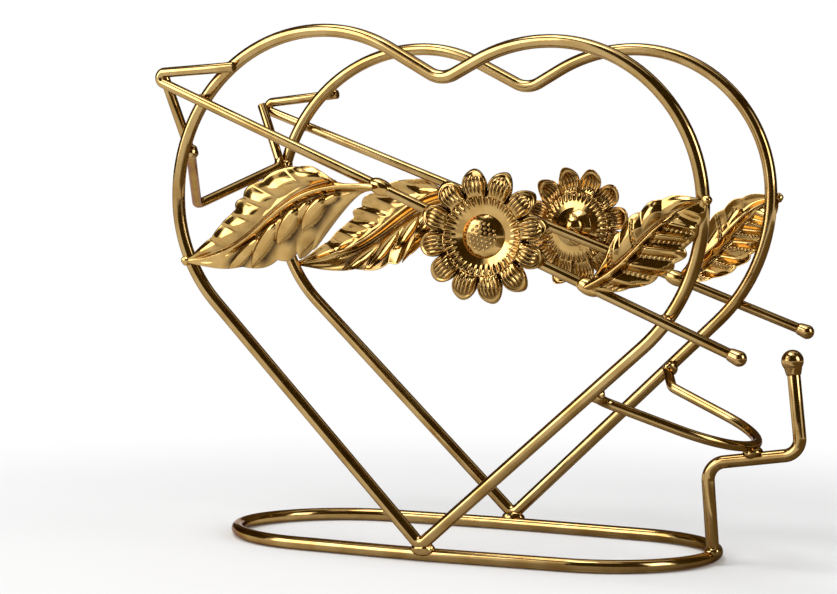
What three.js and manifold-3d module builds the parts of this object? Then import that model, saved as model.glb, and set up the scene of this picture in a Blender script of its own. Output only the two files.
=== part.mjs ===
// Gold wire rack that cradles one wine bottle on its side, neck end raised.
// Two heart-shaped wires stand on an oval base loop and flank the bottle. A hoop carries the heel
// of the bottle, a V-shaped wire carries its neck, and an arrow with a sunflower and two stamped
// leaves is soldered across the outer face of each heart. Every joint is welded or soldered.
// Millimetres. +X runs along the bottle towards its heel, -Y is the front, +Z is up.
// The origin lies on the table, under the middle of the overall length.

import * as THREE from 'three';
import { mergeVertices } from 'three/addons/utils/BufferGeometryUtils.js';
import ManifoldModule from 'manifold-3d';

const wasm = await ManifoldModule();
wasm.setup();

const degrees = Math.PI / 180;

// Wire stock
const frameWire = 5.0; // hearts, base loop and upright
const thinWire = 4.0; // arrows, cradle hoop and neck rest
const weldGap = 0.3; // left between two pieces that touch

// Base loop, as the corners that its centreline would have before bending
const base = {
  railHalfWidth: 45.1,
  railMiddleX: -7.3,
  railBow: 400,
  heelCornerX: 86.0,
  heelCornerHalfWidth: 40.9,
  heelCornerBend: 41.4,
  heelEndX: 91.0,
  heelEndBend: 34.7,
  neckCornerX: -85.4,
  neckCornerHalfWidth: 41.1,
  neckCornerBend: 45.8,
  neckEndX: -102.2,
  neckEndBend: 36.6,
};

// Heart wire, measured from the point where the centrelines of its two legs would meet
const heart = {
  neckReach: 100.2,
  neckHipHeight: 101.3,
  neckHipBend: 54.2,
  neckLobeHeight: 185.6,
  neckShoulderBend: 61.2,
  neckCrownX: -23.8,
  neckCrownBend: 56.0,
  notchX: 9.2,
  notchHeight: 167.2,
  notchBend: 10.1,
  heelCrownX: 35.4,
  heelCrownBend: 58.9,
  heelLobeHeight: 180.8,
  heelReach: 107.0,
  heelShoulderBend: 56.6,
  heelHipHeight: 94.5,
  heelHipBend: 64.5,
  footBend: 3.0,
  footOverhang: 2.5, // heart outside the rail's centreline, at the foot
  leanOut: 1.95 * degrees, // the hearts spread apart upwards
  toeOut: 1.1 * degrees, // and towards the heel end
};

// Upright that stands on the heel end of the base loop and steps under the hoop
const upright = {
  footOutset: 1.0, // beyond the loop's centreline
  riserHeight: 34.0,
  riserLean: -2.9,
  riserBend: 6.9,
  stepLength: 35.1,
  stepRise: 5.5,
  postBend: 6.3,
  postHeight: 33.1,
  postLean: -3.9,
  knobDiameter: 8.3,
};

// Cradle hoop, a flat hairpin that slopes with the bottle
const hoop = {
  slope: 20.5 * degrees,
  endBend: 29.5,
  armFlare: 17 * degrees,
  armLength: 46.5, // along the slope, from the round end to the hooks
  hookBend: 5.0,
  hookHeight: 57.8, // of each weld on its heart, above the heart's foot
  seatOnStep: 17.2, // from the riser's bend to the round end
};

// Arrow across each heart, measured as the heart is
const arrow = {
  tipBeyondHeart: 11.4,
  tipBelowCrown: 15.5,
  tipBend: 2.05,
  tailBeyondHeart: 14.8,
  tailHeight: 73.6,
  barbReach: 38.6, // from the tip to the end of the barb
  barbRise: 2.5,
  knobDiameter: 5.6,
};

// Neck rest, a V between the arrow tips
const rest = {
  topInset: 5.9, // from the arrow's tip corner to the end of the wire
  topDrop: 0.6,
  weldDrop: 29.1, // from the height of the arrow's tip to the weld on the heart
  weldBend: 5.0,
  valleyBeyondHeart: 23.8,
  valleyHeight: 126.4,
  valleyBend: 6.0,
};

// Sunflower: a stamped dish ringed with petals, and its domed centre
const flower = {
  petals: 12,
  turn: 9 * degrees, // of the first petal from the horizontal
  facing: 7 * degrees, // turned towards the heel end
  radius: 23.9,
  cleftRadius: 17.2, // where two petals part
  sheet: 1.0,
  crestRadius: 14.0, // rim of the dish
  crestHeight: 4.4,
  seatRadius: 8.0, // flat bottom of the dish
  petalDrop: 2.4, // from the dish rim to a petal's tip
  petalArch: 1.6,
  centreRadius: 7.6,
  centreHeight: 5.2,
  centreEdge: 0.6, // upright edge round the dome
  solderRadius: 4.6,
  solderDepth: 1.5, // between the dish and the arrow
};

// Leaves: the long one hangs below the arrow at the neck end, the short one rises above it.
// The midrib bows between its stem and its tip. Each half of the blade has an envelope, as pairs of
// a share of the midrib and the width there, and notches that part its lobes. It falls back from
// the midrib by a share of its width.
const longLeaf = {
  stemX: -13.2,
  leg: -1, // side of the heart wire that the tip is soldered to
  tipOverlap: 0.5,
  firstHandle: { along: 0.46, bow: 19.1 },
  secondHandle: { along: 0.51, bow: -11.1 },
  upper: {
    envelope: [
      [0, 1.3], [0.12, 1.8], [0.17, 9.4], [0.25, 12.2], [0.4, 15.0], [0.6, 12.0], [0.8, 8.0], [1, 0.5],
    ],
    notches: [0.2, 0.34, 0.45, 0.53, 0.8],
    fall: 0.14,
  },
  lower: {
    envelope: [
      [0, 1.3], [0.04, 4.6], [0.09, 23.6], [0.2, 22.4], [0.35, 17.4], [0.55, 12.8], [0.8, 6.0], [1, 0.5],
    ],
    notches: [0.115, 0.3, 0.5, 0.72],
    fall: 0.4,
  },
  rowsPerLobe: 2,
  crown: 3.0,
};
const shortLeaf = {
  stemX: 67.4,
  leg: 1,
  tipOverlap: 3.0,
  firstHandle: { along: 0.46, bow: -4.5 },
  secondHandle: { along: 0.55, bow: 6.2 },
  upper: {
    envelope: [[0, 1.3], [0.05, 3.4], [0.12, 8.0], [0.2, 10.3], [0.5, 9.2], [0.75, 6.8], [1, 0.5]],
    notches: [0.24, 0.51, 0.7],
    fall: 0.14,
  },
  lower: {
    envelope: [
      [0, 1.3], [0.05, 5.9], [0.2, 11.0], [0.38, 13.1], [0.5, 12.0], [0.7, 9.6], [0.9, 4.8], [1, 0.5],
    ],
    notches: [0.1, 0.23, 0.34, 0.48, 0.78],
    fall: 0.42,
  },
  rowsPerLobe: 2,
  crown: 2.2,
};
const leaf = {
  sheet: 0.9,
  veinSweep: 38 * degrees,
  leastHalfWidth: 0.5,
  scallop: 0.1, // depth of the notches, as a share of the half width
  crease: 1.6, // between two lobes
  leastRow: 0.018, // share of the midrib, under which two notches share a row of the mesh
  midribHeight: 1.3,
  sleeveWall: 0.8,
  sleeveLength: 5.0,
};

// What differs between the two sides of this hand-welded rack
const frontSide = {
  side: -1,
  footX: -3.4,
  tilt: 0,
  arrowShiftX: 0,
  arrowShiftUp: 0,
  flowerX: 29.6,
  flowerAboveArrow: 1.3,
  longLeafTipHeight: 100.9,
  shortLeafTipHeight: 124.8,
};
const backSide = {
  side: 1,
  footX: -6.5,
  tilt: 2.65 * degrees, // towards the neck end
  arrowShiftX: -3.0,
  arrowShiftUp: -2.9,
  flowerX: 23.8,
  flowerAboveArrow: 3.0,
  longLeafTipHeight: 100.9,
  shortLeafTipHeight: 120.0,
};

// Weld beads, as radii, and how far the ones that aren't round are stretched along x, y and z
const bead = { foot: 3.6, seat: 3.6, hook: 3.0, cross: 2.3, barb: 2.6, rest: 2.7, leafTip: 1.7 };
const beadStretch = {
  uprightFoot: [0.85, 1, 0.6],
  heartFoot: [1.2, 0.8, 0.8],
  barb: [1, 0.75, 1],
  seat: [1, 1.2, 0.75],
};

// Facets
const frameSides = 9; // odd, so that one flat of the base loop faces the table
const thinSides = 8;
const sleeveSides = 12;
const solderSides = 12;
const knobFacets = { around: 12, along: 6 };
const domeFacets = { around: 20, along: 5 };
const wideStep = 10 * degrees;
const tightStep = 20 * degrees;
const tightBend = 15; // largest radius that takes the tight step
const spokesPerPetal = 6;
const bladeColumns = [-1, -0.6, -0.15, 0, 0.15, 0.6, 1]; // lower edge to upper edge, as shares

const frameRadius = frameWire / 2;
const thinRadius = thinWire / 2;
// Distance between the centrelines of the arrow and the heart that it crosses
const arrowDepth = frameRadius + weldGap + thinRadius;

const gold = (color, roughness) => new THREE.MeshStandardMaterial({ color, roughness, metalness: 1 });
const finishes = {
  wire: gold(0xc79a52, 0.2),
  stamping: gold(0xd0a45c, 0.26),
  knob: gold(0xcda058, 0.18),
};

const at = (x, y, z) => new THREE.Vector3(x, y, z);

// A length of wire bent round arcs. Corners are [point, bend radius], and bends that don't fit
// between their neighbours are made smaller. Only the stations that need a ring are kept.
class BentWire extends THREE.Curve {
  constructor(corners, closed = false) {
    super();
    this.closed = closed;
    this.stations = [];
    const radii = BentWire.fittingRadii(corners, closed);
    corners.forEach(([point], i) => {
      if (closed || (i > 0 && i < corners.length - 1)) {
        this.addBend(corners.at(i - 1)[0], point, corners[(i + 1) % corners.length][0], radii[i]);
      } else {
        const [from, to] = i === 0 ? [point, corners[1][0]] : [corners[i - 1][0], point];
        this.stations.push({ point, tangent: to.clone().sub(from).normalize() });
      }
    });
    if (closed) this.stations.push(this.stations[0]);
  }

  static fittingRadii(corners, closed) {
    const count = corners.length;
    const setbacks = corners.map(([point, radius], i) => {
      if (!closed && (i === 0 || i === count - 1)) return 0;
      const incoming = point.clone().sub(corners.at(i - 1)[0]);
      const outgoing = corners[(i + 1) % count][0].clone().sub(point);
      return radius * Math.tan(incoming.angleTo(outgoing) / 2);
    });
    const shares = corners.map(() => 1);
    const lengths = corners.length - (closed ? 0 : 1);
    for (let i = 0; i < lengths; i++) {
      const next = (i + 1) % count;
      const length = corners[i][0].distanceTo(corners[next][0]);
      const needed = setbacks[i] + setbacks[next];
      const share = needed > length ? length / needed : 1;
      shares[i] = Math.min(shares[i], share);
      shares[next] = Math.min(shares[next], share);
    }
    return corners.map(([, radius], i) => radius * shares[i]);
  }

  addBend(before, corner, after, radius) {
    const incoming = corner.clone().sub(before).normalize();
    const outgoing = after.clone().sub(corner).normalize();
    const turn = incoming.angleTo(outgoing);
    const axis = incoming.clone().cross(outgoing).normalize();
    const start = corner.clone().addScaledVector(incoming, -radius * Math.tan(turn / 2));
    const centre = start.clone().addScaledVector(axis.clone().cross(incoming), radius);
    const steps = Math.max(2, Math.ceil(turn / (radius > tightBend ? wideStep : tightStep)));
    for (let k = 0; k <= steps; k++) {
      const angle = (turn * k) / steps;
      const point = start.clone().sub(centre).applyAxisAngle(axis, angle).add(centre);
      // Two bends that meet share one station
      if (this.stations.at(-1)?.point.distanceTo(point) < weldGap) this.stations.pop();
      this.stations.push({ point, tangent: incoming.clone().applyAxisAngle(axis, angle) });
    }
  }

  get steps() {
    return this.stations.length - 1;
  }

  getPointAt(u, target = new THREE.Vector3()) {
    return target.copy(this.stations[Math.round(u * this.steps)].point);
  }

  getTangentAt(u, target = new THREE.Vector3()) {
    return target.copy(this.stations[Math.round(u * this.steps)].tangent);
  }

  // Every place where the centreline passes through measure(point) = 0
  crossings(measure) {
    const found = [];
    for (let i = 1; i <= this.steps; i++) {
      const [a, b] = [this.stations[i - 1].point, this.stations[i].point];
      const [low, high] = [measure(a), measure(b)];
      if (low < 0 !== high < 0) found.push(a.clone().lerp(b, low / (low - high)));
    }
    return found;
  }

  solid(radius, sides) {
    if (this.closed) return solidOf(new THREE.TubeGeometry(this, this.steps, radius, sides, true));
    const section = new THREE.Shape().absarc(0, 0, radius, 0, 2 * Math.PI);
    const options = { steps: this.steps, curveSegments: sides, extrudePath: this };
    return solidOf(new THREE.ExtrudeGeometry(section, options));
  }
}

// A geometry as a solid for joining and cutting
function solidOf(geometry) {
  const bare = geometry.clone();
  for (const name of ['normal', 'uv']) bare.deleteAttribute(name);
  const merged = mergeVertices(bare, 1e-4);
  return new wasm.Manifold(new wasm.Mesh({
    numProp: 3,
    vertProperties: new Float32Array(merged.attributes.position.array),
    triVerts: new Uint32Array(merged.index.array),
  }));
}

function geometryOf(solid) {
  const { vertProperties, triVerts } = solid.getMesh();
  const geometry = new THREE.BufferGeometry();
  geometry.setAttribute('position', new THREE.BufferAttribute(vertProperties, 3));
  geometry.setIndex(new THREE.BufferAttribute(triVerts, 1));
  geometry.computeVertexNormals();
  return geometry;
}

const moved = (solid, matrix) => solid.transform(matrix.elements);
const joined = (solids) => solids.reduce((sum, solid) => sum.add(solid));
const without = (solid, cuts) => cuts.reduce((rest, cut) => rest.subtract(cut), solid);

// A weld bead, stretched where three scales are given
function beadAt(point, radius, [x, y, z] = [1, 1, 1]) {
  const ball = new THREE.IcosahedronGeometry(radius, 1).scale(x, y, z);
  return solidOf(ball.translate(point.x, point.y, point.z));
}

// Turns +Z into the given direction and then moves to the point
function aimed(direction, point) {
  const turn = new THREE.Quaternion().setFromUnitVectors(at(0, 0, 1), direction.clone().normalize());
  return new THREE.Matrix4().compose(point, turn, at(1, 1, 1));
}

// A ball brazed on the end of a wire. It has a shallow socket, into which the wire comes down -Z.
class Knob {
  constructor(diameter, wireRadius) {
    const radius = diameter / 2;
    const mouth = wireRadius + weldGap;
    const rim = Math.asin(mouth / radius);
    this.socketFloor = radius * Math.cos(rim) - 2 * weldGap;
    const profile = [at(0, this.socketFloor), at(mouth, this.socketFloor)];
    for (let i = 0; i < knobFacets.along; i++) {
      const angle = rim + ((Math.PI - rim) * i) / knobFacets.along;
      profile.push(at(radius * Math.sin(angle), radius * Math.cos(angle)));
    }
    profile.push(at(0, -radius));
    const ball = new THREE.LatheGeometry(profile.reverse(), knobFacets.around);
    this.solid = solidOf(ball.rotateX(Math.PI / 2));
  }

  // The knob at the end of a wire that runs in the given direction
  at(centre, direction) {
    return moved(this.solid, aimed(direction.clone().negate(), centre));
  }

  // Where that wire ends, just off the socket's floor
  wireEnd(centre, direction) {
    return centre.clone().addScaledVector(direction, -this.socketFloor - weldGap);
  }
}

function indexed(points, index) {
  const geometry = new THREE.BufferGeometry();
  const coordinates = points.flatMap((point) => point.toArray());
  geometry.setAttribute('position', new THREE.Float32BufferAttribute(coordinates, 3));
  geometry.setIndex(index);
  return geometry;
}

// Closed sheet between a front and a back surface, which both take (share of rows, share of columns)
function sheetSolid(rows, columns, front, back) {
  const points = [];
  for (const face of [front, back]) {
    for (let i = 0; i <= rows; i++) {
      for (let j = 0; j <= columns; j++) points.push(face(i / rows, j / columns));
    }
  }
  const id = (side, i, j) => (side * (rows + 1) + i) * (columns + 1) + j;
  const index = [];
  const quad = (a, b, c, d) => index.push(a, b, c, a, c, d);
  for (let i = 0; i < rows; i++) {
    for (let j = 0; j < columns; j++) {
      quad(id(0, i, j), id(0, i + 1, j), id(0, i + 1, j + 1), id(0, i, j + 1));
      quad(id(1, i, j), id(1, i, j + 1), id(1, i + 1, j + 1), id(1, i + 1, j));
    }
    quad(id(0, i, 0), id(1, i, 0), id(1, i + 1, 0), id(0, i + 1, 0));
    quad(id(0, i + 1, columns), id(1, i + 1, columns), id(1, i, columns), id(0, i, columns));
  }
  for (let j = 0; j < columns; j++) {
    quad(id(0, 0, j + 1), id(1, 0, j + 1), id(1, 0, j), id(0, 0, j));
    quad(id(0, rows, j), id(1, rows, j), id(1, rows, j + 1), id(0, rows, j + 1));
  }
  return solidOf(indexed(points, index));
}

// Closed round sheet between a front and a back surface, which both take (ring share, angle)
function discSolid(ringShares, spokes, front, back) {
  const points = [];
  const [top, under] = [front, back].map((face) => {
    const hub = points.length;
    points.push(face(0, 0));
    for (const share of ringShares) {
      for (let s = 0; s < spokes; s++) points.push(face(share, (2 * Math.PI * s) / spokes));
    }
    return (ring, s) => (ring < 0 ? hub : hub + 1 + ring * spokes + (s % spokes));
  });
  const index = [];
  const last = ringShares.length - 1;
  const quad = (a, b, c, d) => index.push(a, b, c, a, c, d);
  for (let s = 0; s < spokes; s++) {
    index.push(top(-1), top(0, s), top(0, s + 1));
    index.push(under(-1), under(0, s + 1), under(0, s));
    for (let r = 0; r < last; r++) {
      quad(top(r, s), top(r + 1, s), top(r + 1, s + 1), top(r, s + 1));
      quad(under(r, s), under(r, s + 1), under(r + 1, s + 1), under(r + 1, s));
    }
    quad(top(last, s), under(last, s), under(last, s + 1), top(last, s + 1));
  }
  return solidOf(indexed(points, index));
}

const rack = new THREE.Group();

function addMesh(parent, name, solid, finish) {
  const mesh = new THREE.Mesh(geometryOf(solid), finish);
  mesh.name = name;
  parent.add(mesh);
}

// Base loop, lying on the flat that its lowest facets make
const railHeight = frameRadius * Math.cos(Math.PI / frameSides);
const baseCorner = (x, y, bend) => [at(x, y, railHeight), bend];
const baseLoop = new BentWire([
  baseCorner(base.railMiddleX, -base.railHalfWidth, base.railBow),
  baseCorner(base.heelCornerX, -base.heelCornerHalfWidth, base.heelCornerBend),
  baseCorner(base.heelEndX, 0, base.heelEndBend),
  baseCorner(base.heelCornerX, base.heelCornerHalfWidth, base.heelCornerBend),
  baseCorner(base.railMiddleX, base.railHalfWidth, base.railBow),
  baseCorner(base.neckCornerX, base.neckCornerHalfWidth, base.neckCornerBend),
  baseCorner(base.neckEndX, 0, base.neckEndBend),
  baseCorner(base.neckCornerX, -base.neckCornerHalfWidth, base.neckCornerBend),
], true);
const baseClearance = baseLoop.solid(frameRadius + weldGap, frameSides);
addMesh(rack, 'base_loop', baseLoop.solid(frameRadius, frameSides), finishes.wire);

// Upright: riser, step and post, in the middle plane
const heelEndX = Math.max(...baseLoop.crossings((p) => p.y).map((p) => p.x));
const riserFoot = at(heelEndX + upright.footOutset, 0, railHeight + frameRadius / 2);
const riserTop = riserFoot.clone().add(at(upright.riserLean, 0, upright.riserHeight - frameRadius / 2));
const stepEnd = riserTop.clone().add(at(upright.stepLength, 0, upright.stepRise));
const postTop = stepEnd.clone().add(at(upright.postLean, 0, upright.postHeight));
const postDirection = postTop.clone().sub(stepEnd).normalize();
const uprightKnob = new Knob(upright.knobDiameter, frameRadius);
const uprightLine = new BentWire([
  [riserFoot, 0],
  [riserTop, upright.riserBend],
  [stepEnd, upright.postBend],
  [uprightKnob.wireEnd(postTop, postDirection), 0],
]);
const riserFootTop = at(riserFoot.x, 0, railHeight + frameRadius);
const uprightFootBead = beadAt(riserFootTop, bead.foot, beadStretch.uprightFoot);
const uprightSolid = uprightLine.solid(frameRadius, frameSides).add(uprightFootBead);
addMesh(rack, 'upright', without(uprightSolid, [baseClearance]), finishes.wire);
addMesh(rack, 'upright_knob', uprightKnob.at(postTop, postDirection), finishes.knob);

// The pieces of one side are drawn flat: x and y as seen from outside, z towards the viewer
const heartLine = new BentWire([
  [at(0, 0, 0), heart.footBend],
  [at(heart.heelReach, heart.heelHipHeight, 0), heart.heelHipBend],
  [at(heart.heelReach, heart.heelLobeHeight, 0), heart.heelShoulderBend],
  [at(heart.heelCrownX, heart.heelLobeHeight, 0), heart.heelCrownBend],
  [at(heart.notchX, heart.notchHeight, 0), heart.notchBend],
  [at(heart.neckCrownX, heart.neckLobeHeight, 0), heart.neckCrownBend],
  [at(-heart.neckReach, heart.neckLobeHeight, 0), heart.neckShoulderBend],
  [at(-heart.neckReach, heart.neckHipHeight, 0), heart.neckHipBend],
], true);
const heartClearance = heartLine.solid(frameRadius + weldGap, frameSides);
const heartFoot = heartLine.stations.map((s) => s.point).reduce((a, b) => (a.y < b.y ? a : b));
// The foot rests on the rail, the overhang outside its centreline
const footSpacing = frameWire + weldGap;
const footRise = Math.sqrt(footSpacing ** 2 - heart.footOverhang ** 2);

// A point on the heart's centreline at a height, on its neck leg (-1) or its heel leg (1)
function onHeart(height, leg) {
  const points = heartLine.crossings((p) => p.y - height);
  return points.reduce((a, b) => (leg * a.x > leg * b.x ? a : b));
}

function heartSolid(railCut) {
  const betweenWires = at(heartFoot.x, heartFoot.y - footRise / 2, -heart.footOverhang / 2);
  const footBead = beadAt(betweenWires, bead.foot, beadStretch.heartFoot);
  return without(heartLine.solid(frameRadius, frameSides).add(footBead), [railCut]);
}

const tipHeight = heart.neckLobeHeight - arrow.tipBelowCrown;

// Arrow: a straight rod with a knob at the tail and a hairpin tip, whose barb returns to the heart
class Arrow {
  constructor(shiftX, shiftUp) {
    const tipX = shiftX - heart.neckReach - arrow.tipBeyondHeart;
    const tailX = shiftX + heart.heelReach + arrow.tailBeyondHeart;
    this.tip = at(tipX, tipHeight + shiftUp, arrowDepth);
    this.tail = at(tailX, arrow.tailHeight + shiftUp, arrowDepth);
    this.barbEnd = this.tip.clone().add(at(arrow.barbReach, arrow.barbRise, 0));
    this.direction = this.tail.clone().sub(this.tip).normalize();
    this.knob = new Knob(arrow.knobDiameter, thinRadius);
    const tailEnd = this.knob.wireEnd(this.tail, this.direction);
    this.line = new BentWire([[tailEnd, 0], [this.tip, arrow.tipBend], [this.barbEnd, 0]]);
    this.clearance = this.line.solid(thinRadius + weldGap, thinSides);
  }

  // The rod's centreline at x
  on(x) {
    return this.tip.clone().lerp(this.tail, (x - this.tip.x) / (this.tail.x - this.tip.x));
  }

  solid() {
    const crossBeads = heartLine.crossings((p) => this.on(p.x).y - p.y)
      .map((p) => beadAt(p.setZ(arrowDepth / 2), bead.cross));
    const barbBead = at(this.barbEnd.x - thinWire, this.barbEnd.y, arrowDepth / 2);
    const welded = joined([
      this.line.solid(thinRadius, thinSides),
      beadAt(barbBead, bead.barb, beadStretch.barb),
      ...crossBeads,
    ]);
    return without(welded, [heartClearance]);
  }

  knobSolid() {
    return this.knob.at(this.tail, this.direction);
  }
}

// Sunflower, drawn on a flat seat at the origin and then set on its arrow
function flowerPlace(onArrow) {
  const turn = new THREE.Matrix4().makeRotationY(flower.facing);
  return turn.setPosition(onArrow.clone().add(at(0, 0, thinRadius + flower.solderDepth)));
}

function petalPlate() {
  const f = flower;
  const middleOfPetal = (angle) => 0.5 + 0.5 * Math.cos(angle * f.petals);
  const petalRadius = (angle) => {
    const fromMiddle = Math.abs(THREE.MathUtils.euclideanModulo((angle * f.petals) / Math.PI + 1, 2) - 1);
    return f.cleftRadius + (f.radius - f.cleftRadius) * Math.sqrt(1 - fromMiddle ** 2);
  };
  const height = (radius, angle) => {
    if (radius <= f.crestRadius) {
      return f.crestHeight * Math.max(0, (radius - f.seatRadius) / (f.crestRadius - f.seatRadius));
    }
    const out = (radius - f.crestRadius) / (f.radius - f.crestRadius);
    const arch = f.petalArch * middleOfPetal(angle) * Math.sin(Math.PI * out);
    return f.crestHeight - f.petalDrop * out ** 2 + arch;
  };
  const [seat, crest, bulge, edge] = [0.2, 0.4, 0.7, 1];
  const surface = (lift) => (share, angle) => {
    const out = (share - crest) / (edge - crest);
    const radius = out > 0 ? f.crestRadius + (petalRadius(angle) - f.crestRadius) * out
      : THREE.MathUtils.mapLinear(share, seat, crest, f.seatRadius, f.crestRadius);
    const spoke = angle + f.turn;
    return share === 0 ? at(0, 0, lift)
      : at(radius * Math.cos(spoke), radius * Math.sin(spoke), height(radius, angle) + lift);
  };
  const rings = [seat, crest, bulge, edge];
  return discSolid(rings, f.petals * spokesPerPetal, surface(f.sheet), surface(0));
}

function flowerPetals(carrier, onArrow) {
  const depth = thinRadius + flower.solderDepth + flower.sheet / 2;
  const solder = new THREE.CylinderGeometry(flower.solderRadius, flower.solderRadius, depth, solderSides);
  solder.rotateX(Math.PI / 2).translate(0, 0, (flower.sheet - depth) / 2);
  const plate = petalPlate().add(solidOf(solder));
  return without(moved(plate, flowerPlace(onArrow)), [carrier.clearance]);
}

function flowerCentre(onArrow) {
  const foot = flower.sheet + weldGap;
  const profile = [at(0, foot), at(flower.centreRadius, foot)];
  for (let i = 0; i < domeFacets.along; i++) {
    const angle = (Math.PI / 2) * (i / domeFacets.along);
    const rise = THREE.MathUtils.lerp(flower.centreEdge, flower.centreHeight, Math.sin(angle));
    profile.push(at(flower.centreRadius * Math.cos(angle), foot + rise));
  }
  profile.push(at(0, foot + flower.centreHeight));
  const dome = new THREE.LatheGeometry(profile, domeFacets.around).rotateX(Math.PI / 2);
  return moved(solidOf(dome), flowerPlace(onArrow));
}

// 0 at each notch in a blade's edge and 1 in the middle of each lobe
function lobeWave(half, share) {
  const ends = [0, ...half.notches, 1];
  const next = Math.max(1, ends.findIndex((end) => share <= end));
  return Math.sin((Math.PI * (share - ends[next - 1])) / (ends[next] - ends[next - 1]));
}

// How far the edge of a blade stands from the midrib, as a function of the share along it
function edgeOf(half) {
  const shares = half.envelope.map(([share]) => share);
  const widths = half.envelope.map(([, width]) => width);
  const envelope = new THREE.CubicInterpolant(shares, widths, 1);
  return (share) => {
    const notched = 1 - leaf.scallop * (1 - lobeWave(half, share));
    return Math.max(leaf.leastHalfWidth, envelope.evaluate(share)[0] * notched);
  };
}

// Rows of a blade's mesh, which meet the notches of both halves
function bladeRows(shape) {
  const ends = [0, ...shape.upper.notches, ...shape.lower.notches, 1].sort((a, b) => a - b);
  const rows = [0];
  for (const end of ends) {
    const gap = end - rows.at(-1);
    if (gap < leaf.leastRow) continue;
    for (let k = shape.rowsPerLobe - 1; k >= 0; k--) rows.push(end - (gap * k) / shape.rowsPerLobe);
  }
  return rows;
}

// Stamped leaf: its blade hangs on a bowed midrib, and a sleeve under the stem wraps the arrow
function leafSolid(shape, carrier, height) {
  const stem = carrier.on(shape.stemX).add(at(0, 0, thinRadius + weldGap + leaf.sheet));
  const wire = onHeart(height, shape.leg);
  const chord = wire.clone().sub(stem).setZ(0).normalize();
  const upwards = at(-chord.y, chord.x, 0).multiplyScalar(Math.sign(chord.x));
  const tip = wire.clone().addScaledVector(chord, shape.tipOverlap)
    .setZ(frameRadius + weldGap + leaf.sheet);
  const handle = ({ along, bow }) => stem.clone().lerp(tip, along).addScaledVector(upwards, bow);
  const midrib = new THREE.CubicBezierCurve3(
    stem, handle(shape.firstHandle), handle(shape.secondHandle), tip);

  // Columns run from the lower edge over the midrib to the upper edge, along the side veins
  const edges = { upper: edgeOf(shape.upper), lower: edgeOf(shape.lower) };
  const rows = bladeRows(shape);
  const columns = bladeColumns.length - 1;
  const surface = (row, column) => {
    const share = rows[Math.round(row * (rows.length - 1))];
    const out = bladeColumns[Math.round(column * columns)];
    const name = out < 0 ? 'lower' : 'upper';
    const along = midrib.getTangent(share).setZ(0).normalize();
    const across = at(-along.y, along.x, 0).multiplyScalar(Math.sign(along.x) * Math.sign(out));
    const spread = Math.abs(out) * edges[name](share);
    const fullness = Math.sin(Math.PI * share);
    const rib = out === 0 ? leaf.midribHeight * (1 - share / 2) : 0;
    const crease = leaf.crease * (1 - lobeWave(shape[name], share)) * Math.sin(Math.PI * Math.abs(out));
    const lift = (shape.crown - crease) * fullness + rib - shape[name].fall * spread;
    return midrib.getPoint(share).addScaledVector(across, spread)
      .addScaledVector(along, spread * Math.tan(leaf.veinSweep)).add(at(0, 0, lift));
  };
  const column = (v) => (chord.x < 0 ? 1 - v : v); // keeps the front face towards the viewer
  const blade = sheetSolid(rows.length - 1, columns,
    (u, v) => surface(u, column(v)), (u, v) => surface(u, column(v)).sub(at(0, 0, leaf.sheet)));

  const sleeveRadius = thinRadius + weldGap + leaf.sleeveWall;
  const sleeve = new THREE.CylinderGeometry(sleeveRadius, sleeveRadius, leaf.sleeveLength, sleeveSides);
  const sleevePlace = aimed(carrier.direction, carrier.on(shape.stemX));
  const soldered = joined([
    blade,
    moved(solidOf(sleeve.rotateX(Math.PI / 2)), sleevePlace),
    beadAt(wire.clone().setZ(frameRadius + weldGap), bead.leafTip),
  ]);
  return without(soldered, [carrier.clearance, heartClearance]);
}

// One side of the rack. The back one is the front one's mirror image, apart from its own settings.
function makeSide(name, settings) {
  const { side, footX } = settings;
  const rail = baseLoop.crossings((p) => p.x - footX).find((p) => side * p.y > 0);
  const group = new THREE.Group();
  group.position.set(footX, rail.y + side * heart.footOverhang, railHeight + footRise - heartFoot.y);
  group.rotation.order = 'ZXY';
  group.rotation.set(-side * heart.leanOut, -settings.tilt, side * heart.toeOut);
  group.updateMatrixWorld();
  const standing = new THREE.Matrix4().makeRotationX(Math.PI / 2).premultiply(
    new THREE.Matrix4().makeScale(1, -side, 1));
  const toRack = group.matrixWorld.clone().multiply(standing);
  const add = (piece, solid, finish) => addMesh(group, `${name}_${piece}`, moved(solid, standing), finish);

  const ownArrow = new Arrow(settings.arrowShiftX, settings.arrowShiftUp);
  const flowerSeat = ownArrow.on(settings.flowerX).add(at(0, settings.flowerAboveArrow, 0));
  add('heart', heartSolid(moved(baseClearance, toRack.clone().invert())), finishes.wire);
  add('arrow', ownArrow.solid(), finishes.wire);
  add('arrow_knob', ownArrow.knobSolid(), finishes.knob);
  add('flower_petals', flowerPetals(ownArrow, flowerSeat), finishes.stamping);
  add('flower_centre', flowerCentre(flowerSeat), finishes.stamping);
  add('long_leaf', leafSolid(longLeaf, ownArrow, settings.longLeafTipHeight), finishes.stamping);
  add('short_leaf', leafSolid(shortLeaf, ownArrow, settings.shortLeafTipHeight), finishes.stamping);
  rack.add(group);
  return {
    arrow: ownArrow,
    place: (point) => point.clone().applyMatrix4(toRack),
    clearances: [moved(heartClearance, toRack), moved(ownArrow.clearance, toRack)],
  };
}

const sides = [makeSide('front', frontSide), makeSide('back', backSide)];
const clearances = sides.flatMap((side) => side.clearances);

// Cradle hoop: its round end is welded on the upright's step, and its arms hook onto the hearts
const stepDirection = stepEnd.clone().sub(riserTop).normalize();
const hoopSeat = riserTop.clone().addScaledVector(stepDirection, hoop.seatOnStep / stepDirection.x);
const hoopRise = (frameRadius + thinRadius + weldGap) / stepDirection.x;
const hoopEnd = hoopSeat.clone().add(at(0, 0, hoopRise));
const downhill = at(Math.cos(hoop.slope), 0, -Math.sin(hoop.slope));
const hoopPoint = (along, y) => hoopEnd.clone().addScaledVector(downhill, along).setY(y);
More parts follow.
